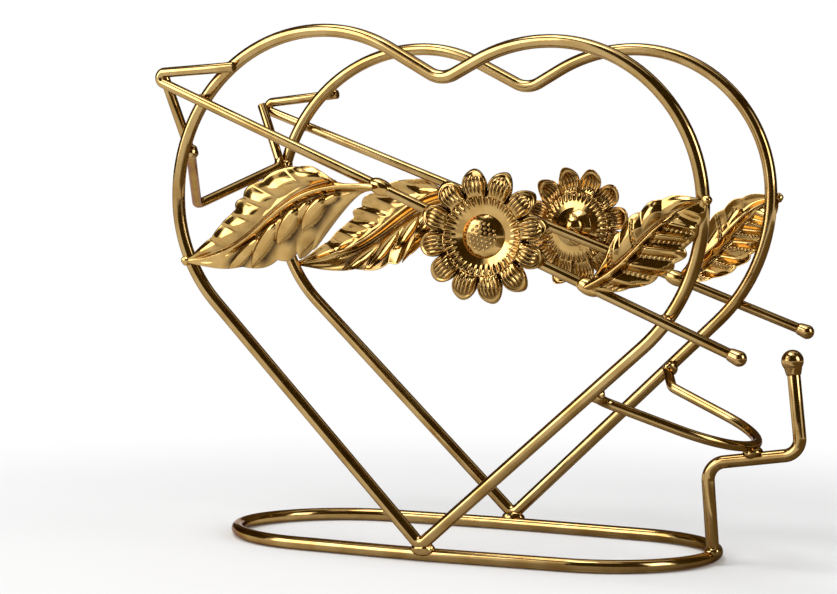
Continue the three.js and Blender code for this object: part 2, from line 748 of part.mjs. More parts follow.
// The lines of the two arms meet beyond the round end
const meetingAlong = hoop.endBend / Math.sin(hoop.armFlare) - hoop.endBend;
const armSpread = (meetingAlong + hoop.armLength) * Math.tan(hoop.armFlare);
const hookWeld = onHeart(hoop.hookHeight, 1).setZ(-frameRadius);
const [frontHook, backHook] = sides.map((side) => side.place(hookWeld));
const hoopLine = new BentWire([
  [frontHook, 0],
  [hoopPoint(-hoop.armLength, -armSpread), hoop.hookBend],
  [hoopPoint(meetingAlong, 0), hoop.endBend],
  [hoopPoint(-hoop.armLength, armSpread), hoop.hookBend],
  [backHook, 0],
]);
const hookBead = (hook) => beadAt(hook.clone().add(at(thinRadius, 0, 0)), bead.hook);
const hoopSolid = joined([
  hoopLine.solid(thinRadius, thinSides),
  hookBead(frontHook),
  hookBead(backHook),
  beadAt(hoopSeat.clone().add(at(0, 0, hoopRise / 2)), bead.seat, beadStretch.seat),
]);
const stepClearance = uprightLine.solid(frameRadius + weldGap, frameSides);
addMesh(rack, 'cradle_hoop', without(hoopSolid, [stepClearance, ...clearances]), finishes.wire);

// Neck rest: from behind one arrow's tip, down the inside of the heart, and up the other side
const behindHeart = -(frameRadius + weldGap + thinRadius);
const behindArrow = arrowDepth - thinWire - weldGap;
const restTop = (side) => side.place(at(
  side.arrow.tip.x + rest.topInset, side.arrow.tip.y - rest.topDrop, behindArrow));
const restCrossing = onHeart(tipHeight - rest.weldDrop, -1);
const restWeld = (side) => side.place(restCrossing.clone().setZ(behindHeart));
const restBead = (side) => side.place(restCrossing.clone().add(at(thinRadius, 0, -frameRadius)));
const restValley = at(-heart.neckReach - rest.valleyBeyondHeart, 0, rest.valleyHeight);
const [frontOne, backOne] = sides;
const restLine = new BentWire([
  [restTop(frontOne), 0],
  [restWeld(frontOne), rest.weldBend],
  [restValley, rest.valleyBend],
  [restWeld(backOne), rest.weldBend],
  [restTop(backOne), 0],
]);
const restSolid = joined([
  restLine.solid(thinRadius, thinSides),
  ...sides.map((side) => beadAt(restBead(side), bead.rest)),
]);
addMesh(rack, 'neck_rest', without(restSolid, clearances), finishes.wire);

export default rack;
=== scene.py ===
"""Looks of the gold wire rack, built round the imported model.

The rack is bent steel wire, welded, fitted with stamped sunflowers and leaves and then plated and
polished to a bright gold. The rack's sizes are in millimetres and the studio's in metres, as are
the finished meshes.
"""

import logging
import math
from dataclasses import dataclass, field
from enum import Enum
from typing import Any, Callable, Optional, Sequence, Union

import bmesh
import bpy
from mathutils import Matrix, Vector, noise

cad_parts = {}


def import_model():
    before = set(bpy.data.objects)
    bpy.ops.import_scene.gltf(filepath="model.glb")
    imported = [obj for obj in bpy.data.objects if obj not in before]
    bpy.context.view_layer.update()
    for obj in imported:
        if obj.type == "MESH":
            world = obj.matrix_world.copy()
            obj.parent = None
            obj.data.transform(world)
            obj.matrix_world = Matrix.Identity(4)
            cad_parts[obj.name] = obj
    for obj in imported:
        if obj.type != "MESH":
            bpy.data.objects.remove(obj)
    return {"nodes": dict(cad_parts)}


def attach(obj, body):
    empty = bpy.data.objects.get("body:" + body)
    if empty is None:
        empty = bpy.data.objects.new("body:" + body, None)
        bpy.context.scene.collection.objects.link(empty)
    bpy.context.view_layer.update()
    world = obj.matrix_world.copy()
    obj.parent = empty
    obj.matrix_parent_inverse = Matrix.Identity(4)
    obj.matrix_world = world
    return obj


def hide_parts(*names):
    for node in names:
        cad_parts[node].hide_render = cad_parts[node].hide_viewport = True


log = logging.getLogger("rack")

MILLIMETRES = Matrix.Scale(0.001, 4)
BODY = "root"
Z_AXIS = Vector((0, 0, 1))

Spot = tuple[float, float]
Socket = bpy.types.NodeSocket


# ------------------------------------------------------------------ finishes


def linear(code: str) -> tuple[float, float, float, float]:
    """Turns an sRGB hex colour into the linear one that Blender's sockets take.

    Args:
        code: Six hex digits, with or without a leading hash.

    Returns:
        Linear red, green, blue and an alpha of 1.
    """
    digits = code.lstrip("#")
    channels = [int(digits[i : i + 2], 16) / 255 for i in (0, 2, 4)]
    curve = [c / 12.92 if c <= 0.04045 else ((c + 0.055) / 1.055) ** 2.4 for c in channels]
    return (curve[0], curve[1], curve[2], 1.0)


def add_node(
    tree: bpy.types.NodeTree,
    kind: str,
    settings: Optional[dict[Union[str, int], Any]] = None,
    links: Optional[dict[Union[str, int], Socket]] = None,
) -> bpy.types.Node:
    """Adds one node, with its settings and its incoming links.

    Args:
        tree: The node tree of a material or the world.
        kind: Blender's name for the node type.
        settings: Values by property, by input name or by input number.
        links: Output sockets by the name or number of the input that they feed.

    Returns:
        The new node.
    """
    node = tree.nodes.new(kind)
    for key, value in (settings or {}).items():
        if isinstance(key, int) or key in node.inputs:
            node.inputs[key].default_value = value
        else:
            setattr(node, key, value)
    for key, socket in (links or {}).items():
        tree.links.new(socket, node.inputs[key])
    return node


def blank_tree(holder: Union[bpy.types.Material, bpy.types.World]) -> bpy.types.NodeTree:
    """Gives a material or world an empty node tree.

    Args:
        holder: The material or world.

    Returns:
        The tree.
    """
    holder.use_nodes = True
    holder.node_tree.nodes.clear()
    return holder.node_tree


class Plating(Enum):
    """The material slots that the pieces take their finish from."""

    WIRE = "gold_wire"
    STAMPING = "gold_stamping"
    KNOB = "gold_knob"


# Thin plating looks brown, not white, where it turns away from the eye
EDGE_TINT = "#9A7642"
# Shares of the wave pattern below which the gold is worn and above which it is bright
WORN_TO_BRIGHT = (0.3, 0.6)
# Where nearly all of the grain pattern's values lie
GRAIN_RANGE = (0.3, 0.7)
# Sockets of a Mix node that mixes colours
MIX_SHARE, MIX_FIRST, MIX_SECOND, MIX_RESULT = 0, 6, 7, 2


@dataclass(frozen=True)
class GoldPlate:
    """Bright gold plating over nickel on polished steel, under a clear baked lacquer.

    It mirrors the room, tinted warm, a little blurred where hand polishing has left faint waves.
    The lacquer adds the pale untinted sheen of the brightest lines. A stamping may also get painted
    shade: a dark brown mixed into its colour by a vertex attribute, heaviest in the hollows of its
    relief.
    """

    name: str
    colour: str
    worn_colour: str
    roughness: float
    roughness_spread: float
    wave_mm: float
    wave_depth_mm: float
    grain_mm: float
    grain_depth_mm: float
    # Dark brown that is painted in as shade where the painted shade attribute is high, in the hollows of
    # the relief
    painted_shade_colour: Optional[str] = None

    def material(self) -> bpy.types.Material:
        """Builds the node material.

        Returns:
            The new material.
        """
        material = bpy.data.materials.new(self.name)
        tree = blank_tree(material)
        place = add_node(tree, "ShaderNodeTexCoord").outputs["Object"]
        # One wave or grain to so many millimetres. The real polishing grain is too fine to show, so
        # it is drawn this coarse
        wave, grain = (
            add_node(
                tree,
                "ShaderNodeTexNoise",
                {"Scale": 1000 / size_mm, "Detail": detail},
                {"Vector": place},
            ).outputs["Fac"]
            for size_mm, detail in ((self.wave_mm, 2.0), (self.grain_mm, 3.0))
        )
        tint = add_node(tree, "ShaderNodeValToRGB", links={"Fac": wave})
        ends = zip(tint.color_ramp.elements, WORN_TO_BRIGHT, (self.worn_colour, self.colour))
        for element, position, code in ends:
            element.position, element.color = position, linear(code)
        colour = tint.outputs["Color"]
        # Painted shade: the attribute's weight mixes the dark brown into the colour, so the stamped
        # hollows read darker
        if self.painted_shade_colour:
            depth = add_node(tree, "ShaderNodeAttribute", {"attribute_name": "painted_shade"})
            settings = {"data_type": "RGBA", MIX_SECOND: linear(self.painted_shade_colour)}
            links = {MIX_SHARE: depth.outputs["Fac"], MIX_FIRST: colour}
            colour = add_node(tree, "ShaderNodeMix", settings, links).outputs[MIX_RESULT]
        rough = add_node(
            tree,
            "ShaderNodeMapRange",
            {
                "From Min": GRAIN_RANGE[0],
                "From Max": GRAIN_RANGE[1],
                "To Min": self.roughness - self.roughness_spread,
                "To Max": self.roughness + self.roughness_spread,
            },
            {"Value": grain},
        )
        # The grain bends the surface on top of the waves
        bent: dict[str, Socket] = {}
        for height, depth_mm in ((wave, self.wave_depth_mm), (grain, self.grain_depth_mm)):
            settings = {"Strength": 1.0, "Distance": depth_mm / 1000}
            bump = add_node(tree, "ShaderNodeBump", settings, {"Height": height, **bent})
            bent = {"Normal": bump.outputs["Normal"]}
        shader = add_node(
            tree,
            "ShaderNodeBsdfPrincipled",
            {
                "Metallic": 1.0,
                "Specular Tint": linear(EDGE_TINT),
                "Coat Weight": 0.35,
                "Coat Roughness": 0.06,
            },
            {"Base Color": colour, "Roughness": rough.outputs["Result"], **bent},
        )
        add_node(tree, "ShaderNodeOutputMaterial", links={"Surface": shader.outputs["BSDF"]})
        return material


Finishes = dict[Plating, bpy.types.Material]


def make_finishes() -> Finishes:
    """Builds the three plated finishes of the rack, named for what was plated.

    Returns:
        The material of each slot.
    """
    wire = GoldPlate(
        "gold plated drawn wire",
        colour="#BC9C63",
        worn_colour="#A48044",
        roughness=0.11,
        roughness_spread=0.02,
        wave_mm=11.0,
        wave_depth_mm=0.07,
        grain_mm=0.9,
        grain_depth_mm=0.0,
    )
    stamping = GoldPlate(
        "gold plated stamped sheet",
        colour="#CCA764",
        worn_colour="#B8904C",
        roughness=0.12,
        roughness_spread=0.03,
        wave_mm=6.0,
        wave_depth_mm=0.03,
        grain_mm=0.7,
        grain_depth_mm=0.002,
        # Painted shade for the hollows of the stamped relief
        painted_shade_colour="#3C2408",
    )
    knob = GoldPlate(
        "gold plated turned ball",
        colour="#C4A066",
        worn_colour="#A68048",
        roughness=0.14,
        roughness_spread=0.04,
        wave_mm=2.2,
        wave_depth_mm=0.03,
        grain_mm=0.5,
        grain_depth_mm=0.004,
    )
    return {
        Plating.WIRE: wire.material(),
        Plating.STAMPING: stamping.material(),
        Plating.KNOB: knob.material(),
    }


# ------------------------------------------------------------------ making of meshes


def aimed(direction: Vector, point: Vector) -> Matrix:
    """A placement that turns +Z into a direction and moves the origin to a point."""
    turn = Z_AXIS.rotation_difference(direction).to_matrix().to_4x4()
    return Matrix.Translation(point) @ turn


def verts_of(made: Sequence[Any]) -> list[bmesh.types.BMVert]:
    """The vertices among what an operator made."""
    return [item for item in made if isinstance(item, bmesh.types.BMVert)]


def edges_of(made: Sequence[Any]) -> list[bmesh.types.BMEdge]:
    """The edges among what an operator made."""
    return [item for item in made if isinstance(item, bmesh.types.BMEdge)]


def close_holes(bm: bmesh.types.BMesh, reach: float = math.inf) -> None:
    """Fills the open rims whose first vertex lies within a reach of the origin."""
    rims = [edge for edge in bm.edges if edge.is_boundary and edge.verts[0].co.length < reach]
    bmesh.ops.holes_fill(bm, edges=rims)


def repeat_round(bm: bmesh.types.BMesh, count: int) -> None:
    """Copies the whole mesh round +Z.

    Args:
        bm: The mesh.
        count: How many of it there are in the end.
    """
    copies = count - 1
    turn = 2 * math.pi / count * copies
    source = list(bm.verts) + list(bm.edges) + list(bm.faces)
    bmesh.ops.spin(
        bm, geom=source, cent=(0, 0, 0), axis=Z_AXIS, angle=turn, steps=copies, use_duplicate=True
    )


def thicken(bm: bmesh.types.BMesh, wall: float) -> None:
    """Gives an open sheet its thickness, straight back from the face that is seen.

    Args:
        bm: The sheet, facing +Z.
        wall: Its thickness.
    """
    made = bmesh.ops.extrude_face_region(bm, geom=list(bm.faces), use_keep_orig=True)["geom"]
    bmesh.ops.translate(bm, vec=(0, 0, -wall), verts=verts_of(made))
    bmesh.ops.recalc_face_normals(bm, faces=bm.faces)


def smooth_step(low: float, high: float, value: float) -> float:
    """Rises smoothly from 0 at low to 1 at high."""
    share = min(1.0, max(0.0, (value - low) / (high - low)))
    return share * share * (3 - 2 * share)


def smooth_drop(low: float, high: float, value: float) -> float:
    """Drops smoothly from 1 at low to 0 at high."""
    return 1 - smooth_step(low, high, value)


def bell(value: float, middle: float, width: float) -> float:
    """A soft ridge or valley: 1 in its middle and almost 0 two widths away."""
    return math.exp(-(((value - middle) / width) ** 2))


def make_object(bm: bmesh.types.BMesh, name: str, material: bpy.types.Material) -> bpy.types.Object:
    """Turns a bmesh into an object of the scene, and frees it.

    Args:
        bm: The mesh, in metres.
        name: The object's name.
        material: The material of the whole object.

    Returns:
        The new object.
    """
    mesh = bpy.data.meshes.new(name)
    bm.to_mesh(mesh)
    bm.free()
    mesh.materials.append(material)
    made = bpy.data.objects.new(name, mesh)
    bpy.context.scene.collection.objects.link(made)
    return made


def finish_piece(
    bm: bmesh.types.BMesh,
    name: str,
    finishes: Finishes,
    slot: Plating,
    node: str,
    place: Matrix = Matrix.Identity(4),
) -> None:
    """Turns a millimetre bmesh into a piece of the rack that rides on its body.

    Args:
        bm: The mesh, in its drawing's own frame. It is freed.
        name: The piece's name.
        finishes: The material of each slot.
        slot: The slot that it is finished as.
        node: The CAD node that it stands for.
        place: From the drawing's frame to the rack's, in millimetres.
    """
    bmesh.ops.remove_doubles(bm, verts=bm.verts, dist=0.0005)
    bmesh.ops.transform(bm, matrix=MILLIMETRES @ place, verts=bm.verts)
    mirrored = place.determinant() < 0
    if mirrored:
        bmesh.ops.reverse_faces(bm, faces=bm.faces)
    for face in bm.faces:
        face.smooth = True
    piece = make_object(bm, name, finishes[slot])
    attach(piece, BODY)
    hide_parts(node)
    log.info("%s: %d faces", name, len(piece.data.polygons))


@dataclass(frozen=True)
class Bead:
    """A weld bead: a ball whose surface has set in soft uneven folds.

    The seed moves the folds, so that no two beads are alike.
    """

    centre: Sequence[float]
    radius: float
    stretch: tuple[float, float, float] = (1, 1, 1)
    seed: float = 0.0
    # How often the surface folds along the radius, and how deep, as a share of it
    folds: float = 1.1
    fold_depth: float = 0.16
    ripples: float = 3.2
    ripple_depth: float = 0.05

    def add_to(self, bm: bmesh.types.BMesh) -> None:
        """Adds the bead to a mesh.

        Args:
            bm: The mesh that takes it.
        """
        made = bmesh.ops.create_icosphere(bm, subdivisions=4, radius=self.radius)["verts"]
        seed = self.seed
        for vert in made:
            fold = noise.noise(vert.co * (self.folds / self.radius) + Vector((seed, seed, seed)))
            ripple = noise.noise(vert.co * (self.ripples / self.radius) + Vector((seed, 0, seed)))
            vert.co *= 1 + self.fold_depth * fold + self.ripple_depth * ripple
        bmesh.ops.scale(bm, vec=Vector(self.stretch), verts=made)
        bmesh.ops.translate(bm, vec=Vector(self.centre), verts=made)


@dataclass
class BentWire:
    """A length of round wire bent over formers.

    Corners are where the straight runs would meet, each with the radius of its bend.
    """

    corners: list[tuple[Vector, float]]
    diameter: float
    closed: bool = False
    sides: int = 28
    degrees_per_step: float = 3.0
    # Off the radius, so that the finely divided wire stays inside the CAD model's box
    shaved: float = 0.1
    shortest_run: float = 0.05
    deburring: float = 0.35

    @classmethod
    def through(
        cls, rows: Sequence[tuple[float, float, float, float]], diameter: float, closed: bool = False
    ) -> "BentWire":
        """A wire whose corners are given as rows of x, y, z and the radius of the bend."""
        return cls([(Vector((x, y, z)), bend) for x, y, z, bend in rows], diameter, closed)

    def bend_radii(self) -> list[float]:
        """Bend radii, made smaller where two bends don't fit between their corners.

        Returns:
            One radius for each corner.
        """
        count = len(self.corners)
        points = [corner for corner, _ in self.corners]
        setbacks = []
        for i, (corner, radius) in enumerate(self.corners):
            if not self.closed and i in (0, count - 1):
                setbacks.append(0.0)
                continue
            incoming = corner - points[i - 1]
            outgoing = points[(i + 1) % count] - corner
            setbacks.append(radius * math.tan(incoming.angle(outgoing) / 2))
        shares = [1.0] * count
        for i in range(count if self.closed else count - 1):
            after = (i + 1) % count
            length = (points[after] - points[i]).length
            needed = setbacks[i] + setbacks[after]
            share = length / needed if needed > length else 1.0
            shares[i] = min(shares[i], share)
            shares[after] = min(shares[after], share)
        return [radius * share for (_, radius), share in zip(self.corners, shares)]

    def draw(self) -> bmesh.types.BMesh:
        """Draws the wire by extruding its round section along each run and spinning it round each bend.

        Returns:
            The wire, with deburred ends unless it is closed.
        """
        bm = bmesh.new()
        points = [corner for corner, _ in self.corners]
        radii = self.bend_radii()
        count = len(points)
        start = (points[-1] + points[0]) / 2 if self.closed else points[0]
        heading = ((points[0] if self.closed else points[1]) - start).normalized()
        radius = self.diameter / 2 - self.shaved
        ring = bmesh.ops.create_circle(bm, segments=self.sides, radius=radius)["verts"]
        bmesh.ops.transform(bm, matrix=aimed(heading, start), verts=ring)
        edges = list(bm.edges)
        first = list(edges)
        here = start
        for i in range(count) if self.closed else range(1, count - 1):
            corner, after = points[i], points[(i + 1) % count]
            heading = (corner - here).normalized()
            turned = (after - corner).normalized()
            turn = heading.angle(turned)
            setback = radii[i] * math.tan(turn / 2)
            edges = self._run(bm, edges, corner - heading * setback - here)
            axis = heading.cross(turned).normalized()
            middle = corner - heading * setback + axis.cross(heading) * radii[i]
            edges = self._bend(bm, edges, middle, axis, turn)
            here = corner + turned * setback
        edges = self._run(bm, edges, (start if self.closed else points[-1]) - here)
        if self.closed:
            bmesh.ops.remove_doubles(bm, verts=bm.verts, dist=0.02)
        else:
            for rim in (first, edges):
                bmesh.ops.contextual_create(bm, geom=rim)
            ends = [edge for edge in first + edges if edge.is_valid]
            width = self.deburring
            bmesh.ops.bevel(
                bm, geom=ends, offset=width, segments=3, profile=0.5, affect="EDGES", material=-1
            )
        bmesh.ops.recalc_face_normals(bm, faces=bm.faces)
        return bm

    def _run(
        self, bm: bmesh.types.BMesh, edges: list[bmesh.types.BMEdge], step: Vector
    ) -> list[bmesh.types.BMEdge]:
        """Extrudes an open ring along a straight run, unless the run is too short to matter.

        Args:
            bm: The mesh of the wire.
            edges: The ring at the start of the run.
            step: From the start of the run to its end.

        Returns:
            The ring at its end.
        """
        if step.length < self.shortest_run:
            return edges
        made = bmesh.ops.extrude_edge_only(bm, edges=edges)["geom"]
        verts = verts_of(made)
        bmesh.ops.translate(bm, vec=step, verts=verts)
        moved = set(verts)
        return [edge for edge in edges_of(made) if all(vert in moved for vert in edge.verts)]

    def _bend(
        self,
        bm: bmesh.types.BMesh,
        edges: list[bmesh.types.BMEdge],
        middle: Vector,
        axis: Vector,
        turn: float,
    ) -> list[bmesh.types.BMEdge]:
        """Spins an open ring round a bend.

        Args:
            bm: The mesh of the wire.
            edges: The ring at the start of the bend.
            middle: The point that the wire is bent round.
            axis: The direction that it is bent round.
            turn: The angle of the bend.

        Returns:
            The ring at its end.
        """
        steps = max(3, round(math.degrees(turn) / self.degrees_per_step))
        verts = list(dict.fromkeys(vert for edge in edges for vert in edge.verts))
        made = bmesh.ops.spin(bm, geom=edges + verts, cent=middle, axis=axis, angle=turn, steps=steps)
        return edges_of(made["geom_last"])


# Sizes of the braze under a ball: how far its foot stands out from the wire, how much wider its
# waist and its top are, and how far below the ball its foot and its waist lie
BRAZE_FOOT, BRAZE_WAIST, BRAZE_TOP = 0.15, 0.25, 0.7
BRAZE_FOOT_DROP, BRAZE_WAIST_DROP = 1.1, 0.4
# A ball is turned a little under size, which keeps it inside the CAD model's box, and has soft dents
BALL_SHARE, DENT_DEPTH, DENTS_PER_MM = 0.972, 0.01, 0.45


def ball_on_wire(diameter: float, wire: float) -> bmesh.types.BMesh:
    """A turned ball with the fillet of braze that holds it on a wire coming up from below.

    Args:
        diameter: Of the ball.
        wire: Diameter of the wire.

    Returns:
        The ball, its middle at the origin and its wire along -Z.
    """
    bm = bmesh.new()
    radius = diameter / 2
    neck = wire / 2 + BRAZE_FOOT
    profile = [
        Vector((neck, 0, -radius - BRAZE_FOOT_DROP)),
        Vector((neck + BRAZE_WAIST, 0, -radius - BRAZE_WAIST_DROP)),
    ]
    lowest = math.asin(min(0.98, (neck + BRAZE_TOP) / radius))
    arc_steps = 20
    for i in range(arc_steps + 1):
        angle = lowest + (math.pi - lowest) * i / arc_steps
        profile.append(Vector((radius * math.sin(angle), 0, -radius * math.cos(angle))))
    verts = [bm.verts.new(point) for point in profile]
    edges = [bm.edges.new(pair) for pair in zip(verts, verts[1:])]
    bmesh.ops.spin(
        bm, geom=verts + edges, axis=Z_AXIS, cent=(0, 0, 0), angle=2 * math.pi, steps=36, use_merge=True
    )
    bmesh.ops.remove_doubles(bm, verts=bm.verts, dist=0.001)
    close_holes(bm)
    bmesh.ops.recalc_face_normals(bm, faces=bm.faces)
    for vert in bm.verts:
        vert.co *= BALL_SHARE + DENT_DEPTH * noise.noise(vert.co * DENTS_PER_MM)
    return bm


# ------------------------------------------------------------------ sub-assemblies

FRAME_WIRE = 5.0
THIN_WIRE = 4.0


@dataclass
class Base:
    """Closed oval of wire that lies on the table, and the upright welded on its heel end.

    The loop's corners are x, y and the bend's radius, and the upright's also have z before it.
    """

    finishes: Finishes
    height: float = 2.41
    loop: tuple[tuple[float, float, float], ...] = (
        (-7.3, -45.1, 400.0),
        (86.0, -40.9, 41.4),
        (91.0, 0.0, 34.7),
        (86.0, 40.9, 41.4),
        (-7.3, 45.1, 400.0),
        (-85.4, 41.1, 45.8),
        (-102.2, 0.0, 36.6),
        (-85.4, -41.1, 45.8),
    )
    upright: tuple[tuple[float, float, float, float], ...] = (
        (91.7, 0, 3.6, 0),
        (88.84, 0, 36.35, 6.9),
        (123.94, 0, 41.85, 6.3),
    )
    foot_bead: Bead = Bead((91.7, 0, 4.4), 3.5, (0.95, 1.05, 0.62), 3.1)
    post_top: tuple[float, float, float] = (120.04, 0, 74.95)
    knob: float = 8.3

    def build(self) -> None:
        """Builds the loop, the upright and the ball on its post."""
        rows = [(x, y, self.height, bend) for x, y, bend in self.loop]
        loop = BentWire.through(rows, FRAME_WIRE, closed=True).draw()
        finish_piece(loop, "base_loop_wire", self.finishes, Plating.WIRE, "base_loop")
        top = Vector(self.post_top)
        post = (top - Vector(self.upright[-1][:3])).normalized()
        end = top - post * self.knob / 2
        upright = BentWire.through([*self.upright, (*end, 0)], FRAME_WIRE).draw()
        self.foot_bead.add_to(upright)
        finish_piece(upright, "upright_wire", self.finishes, Plating.WIRE, "upright")
        ball = ball_on_wire(self.knob, FRAME_WIRE)
        finish_piece(ball, "upright_ball", self.finishes, Plating.KNOB, "upright_knob", aimed(post, top))


@dataclass
class Cradle:
    """The hoop at the heel end of the rack and the V at its neck end.

    Corners are x, y, z and the bend's radius.
    """

    finishes: Finishes
    hoop: tuple[tuple[float, float, float, float], ...] = (
        (62.04, -47.78, 63.73, 0.0),
        (62.49, -36.05, 60.19, 5.0),
        (172.92, 0.0, 18.9, 29.5),
        (62.49, 36.05, 60.19, 5.0),
        (56.2, 47.89, 66.69, 0.0),
    )
    hoop_beads: tuple[Bead, ...] = (
        Bead((106.0, 0, 41.5), 3.5, (1.05, 1.2, 0.75), 5.2),
        Bead((63.5, -46.9, 63.5), 2.9, (1.1, 1.0, 0.95), 7.7),
        Bead((57.8, 47.0, 66.5), 2.9, (1.0, 1.0, 1.0), 1.4),
    )
    rest: tuple[tuple[float, float, float, float], ...] = (
        (-109.2, -51.29, 175.26, 0.0),
        (-101.05, -45.18, 146.96, 5.0),
        (-124.0, 0.0, 126.4, 6.0),
        (-110.56, 44.96, 142.29, 5.0),
        (-122.88, 50.88, 167.16, 0.0),
    )
    rest_beads: tuple[Bead, ...] = (
        Bead((-99.6, -47.3, 146.9), 2.6, (1.0, 1.0, 1.1), 9.3),
        Bead((-109.0, 47.1, 142.3), 2.6, (1.0, 1.0, 1.1), 4.6),
    )

    def build(self) -> None:
        """Builds both wires with their weld beads."""
        for node, rows, beads in (
            ("cradle_hoop", self.hoop, self.hoop_beads),
            ("neck_rest", self.rest, self.rest_beads),
        ):
            wire = BentWire.through(rows, THIN_WIRE).draw()
            for bead in beads:
                bead.add_to(wire)
            finish_piece(wire, f"{node}_wire", self.finishes, Plating.WIRE, node)


@dataclass(frozen=True)
class LeafHalf:
    """One half of a leaf's blade, from its midrib to one edge.

    The envelope gives half widths in millimetres at shares of the midrib's length, and the notches
    are the shares where two lobes part. The fall is how far the edge drops, as a share of the width.
    """

    envelope: tuple[Spot, ...]
    notches: tuple[float, ...]
    fall: float

    def lobe(self, share: float) -> float:
        """How far along its lobe a place lies.

        Args:
            share: Of the midrib's length.

        Returns:
            From 0 at the lobe's stem side to 1 at its tip side.
        """
        ends = (0.0, *self.notches, 1.0)
        for low, high in zip(ends, ends[1:]):
            if share <= high:
                return (share - low) / (high - low)
        return 1.0

    def width(self, share: float) -> float:
        """The envelope's smooth curve through its points.

        Args:
            share: Of the midrib's length.

        Returns:
            The half width in millimetres.
        """
        points = self.envelope
        i = next((k for k in range(1, len(points)) if share <= points[k][0]), len(points) - 1)
        (start, low), (end, high) = points[i - 1], points[i]
        length = end - start
        rise = (high - low) / length
        before = points[i - 2] if i > 1 else None
        after = points[i + 1] if i + 1 < len(points) else None
        slope_in = (high - before[1]) / (end - before[0]) if before else rise
        slope_out = (after[1] - low) / (after[0] - start) if after else rise
        t = min(1.0, max(0.0, (share - start) / length))
        return (
            low * (1 + 2 * t) * (1 - t) ** 2
            + high * t * t * (3 - 2 * t)
            + length * (slope_in * t * (1 - t) ** 2 - slope_out * t * t * (1 - t))
        )


@dataclass(frozen=True)
class Bud:
    """A slim swelling that springs from the midrib and runs towards the tip."""

    share: float
    offset: float
    angle: float
    length: float
    width: float
    height: float

    def rise(self, along: float, across: float) -> float:
        """Height of the bud at a place measured along and across its own line.

        Args:
            along: Millimetres from its root.
            across: Millimetres from its line.

        Returns:
            Millimetres above the blade.
        """
        run = along / self.length
        if not 0 < run < 1:
            return 0.0
        girth = self.width * math.sin(math.pi * run**0.8) ** 0.65
        if abs(across) >= girth:
            return 0.0
        return self.height * math.sqrt(1 - (across / girth) ** 2) * min(1.0, girth / self.width + 0.2)


@dataclass(frozen=True)
class LeafPattern:
    """A stamped leaf: the outline of its halves and how its veins are embossed.

    Handles shape the midrib. Each is a share of the straight line from stem to tip and the bow
    above it. Swells, beads and ribs are given as shares of the midrib's length.
    """

    handles: tuple[Spot, Spot]
    crown: float
    upper: LeafHalf
    lower: LeafHalf
    swells: tuple[float, ...] = (0.0, 1.0)
    buds: tuple[Bud, ...] = ()
    upper_beads: tuple[float, ...] = ()
    lower_beads: tuple[float, ...] = ()
    ribs: tuple[float, ...] = ()
    furrows: float = 0.0
    sweep: float = math.radians(38)
    least_half_width: float = 0.5
    scallop: float = 0.1
    wall: float = 0.8
    rib_width: float = 2.2
    rib_height: float = 2.7
    rib_end: float = 0.84
    crease: float = 1.7
    skirt: float = 0.4

    def half_width(self, half: LeafHalf, share: float) -> float:
        """How far an edge stands from the midrib at a share of the midrib's length."""
        wave = math.sin(math.pi * half.lobe(share))
        return max(self.least_half_width, half.width(share) * (1 - self.scallop * (1 - wave)))


# Millimetres between two side veins, to a millimetre between their roots on the midrib
VEIN_SLANT = 0.79
# Where a swell is highest, as a share of its own length
SWELL_PEAK = 0.62
FURROW_DEPTH = 0.75
# Punched grains: half the trough's width, the depth of the trough and the grains' size across it
TROUGH, TROUGH_DEPTH, GRAIN_ACROSS, GRAIN_ALONG = 1.1, 0.4, 0.85, 1.25
# Side ribs: half width at the midrib, how much of it is lost at the edge, and their height
SIDE_RIB_GIRTH, SIDE_RIB_TAPER, SIDE_RIB_HEIGHT = 1.15, 0.4, 1.1
# How steeply the two halves droop towards their edges
LOWER_DROOP, UPPER_DROOP = 1.9, 1.25
# Rows of the grid to a millimetre of midrib, and columns across the blade
GRID_ROWS_PER_MM, GRID_COLUMNS = 2.4, 90

BudLine = tuple[Bud, Vector, Vector, Vector]


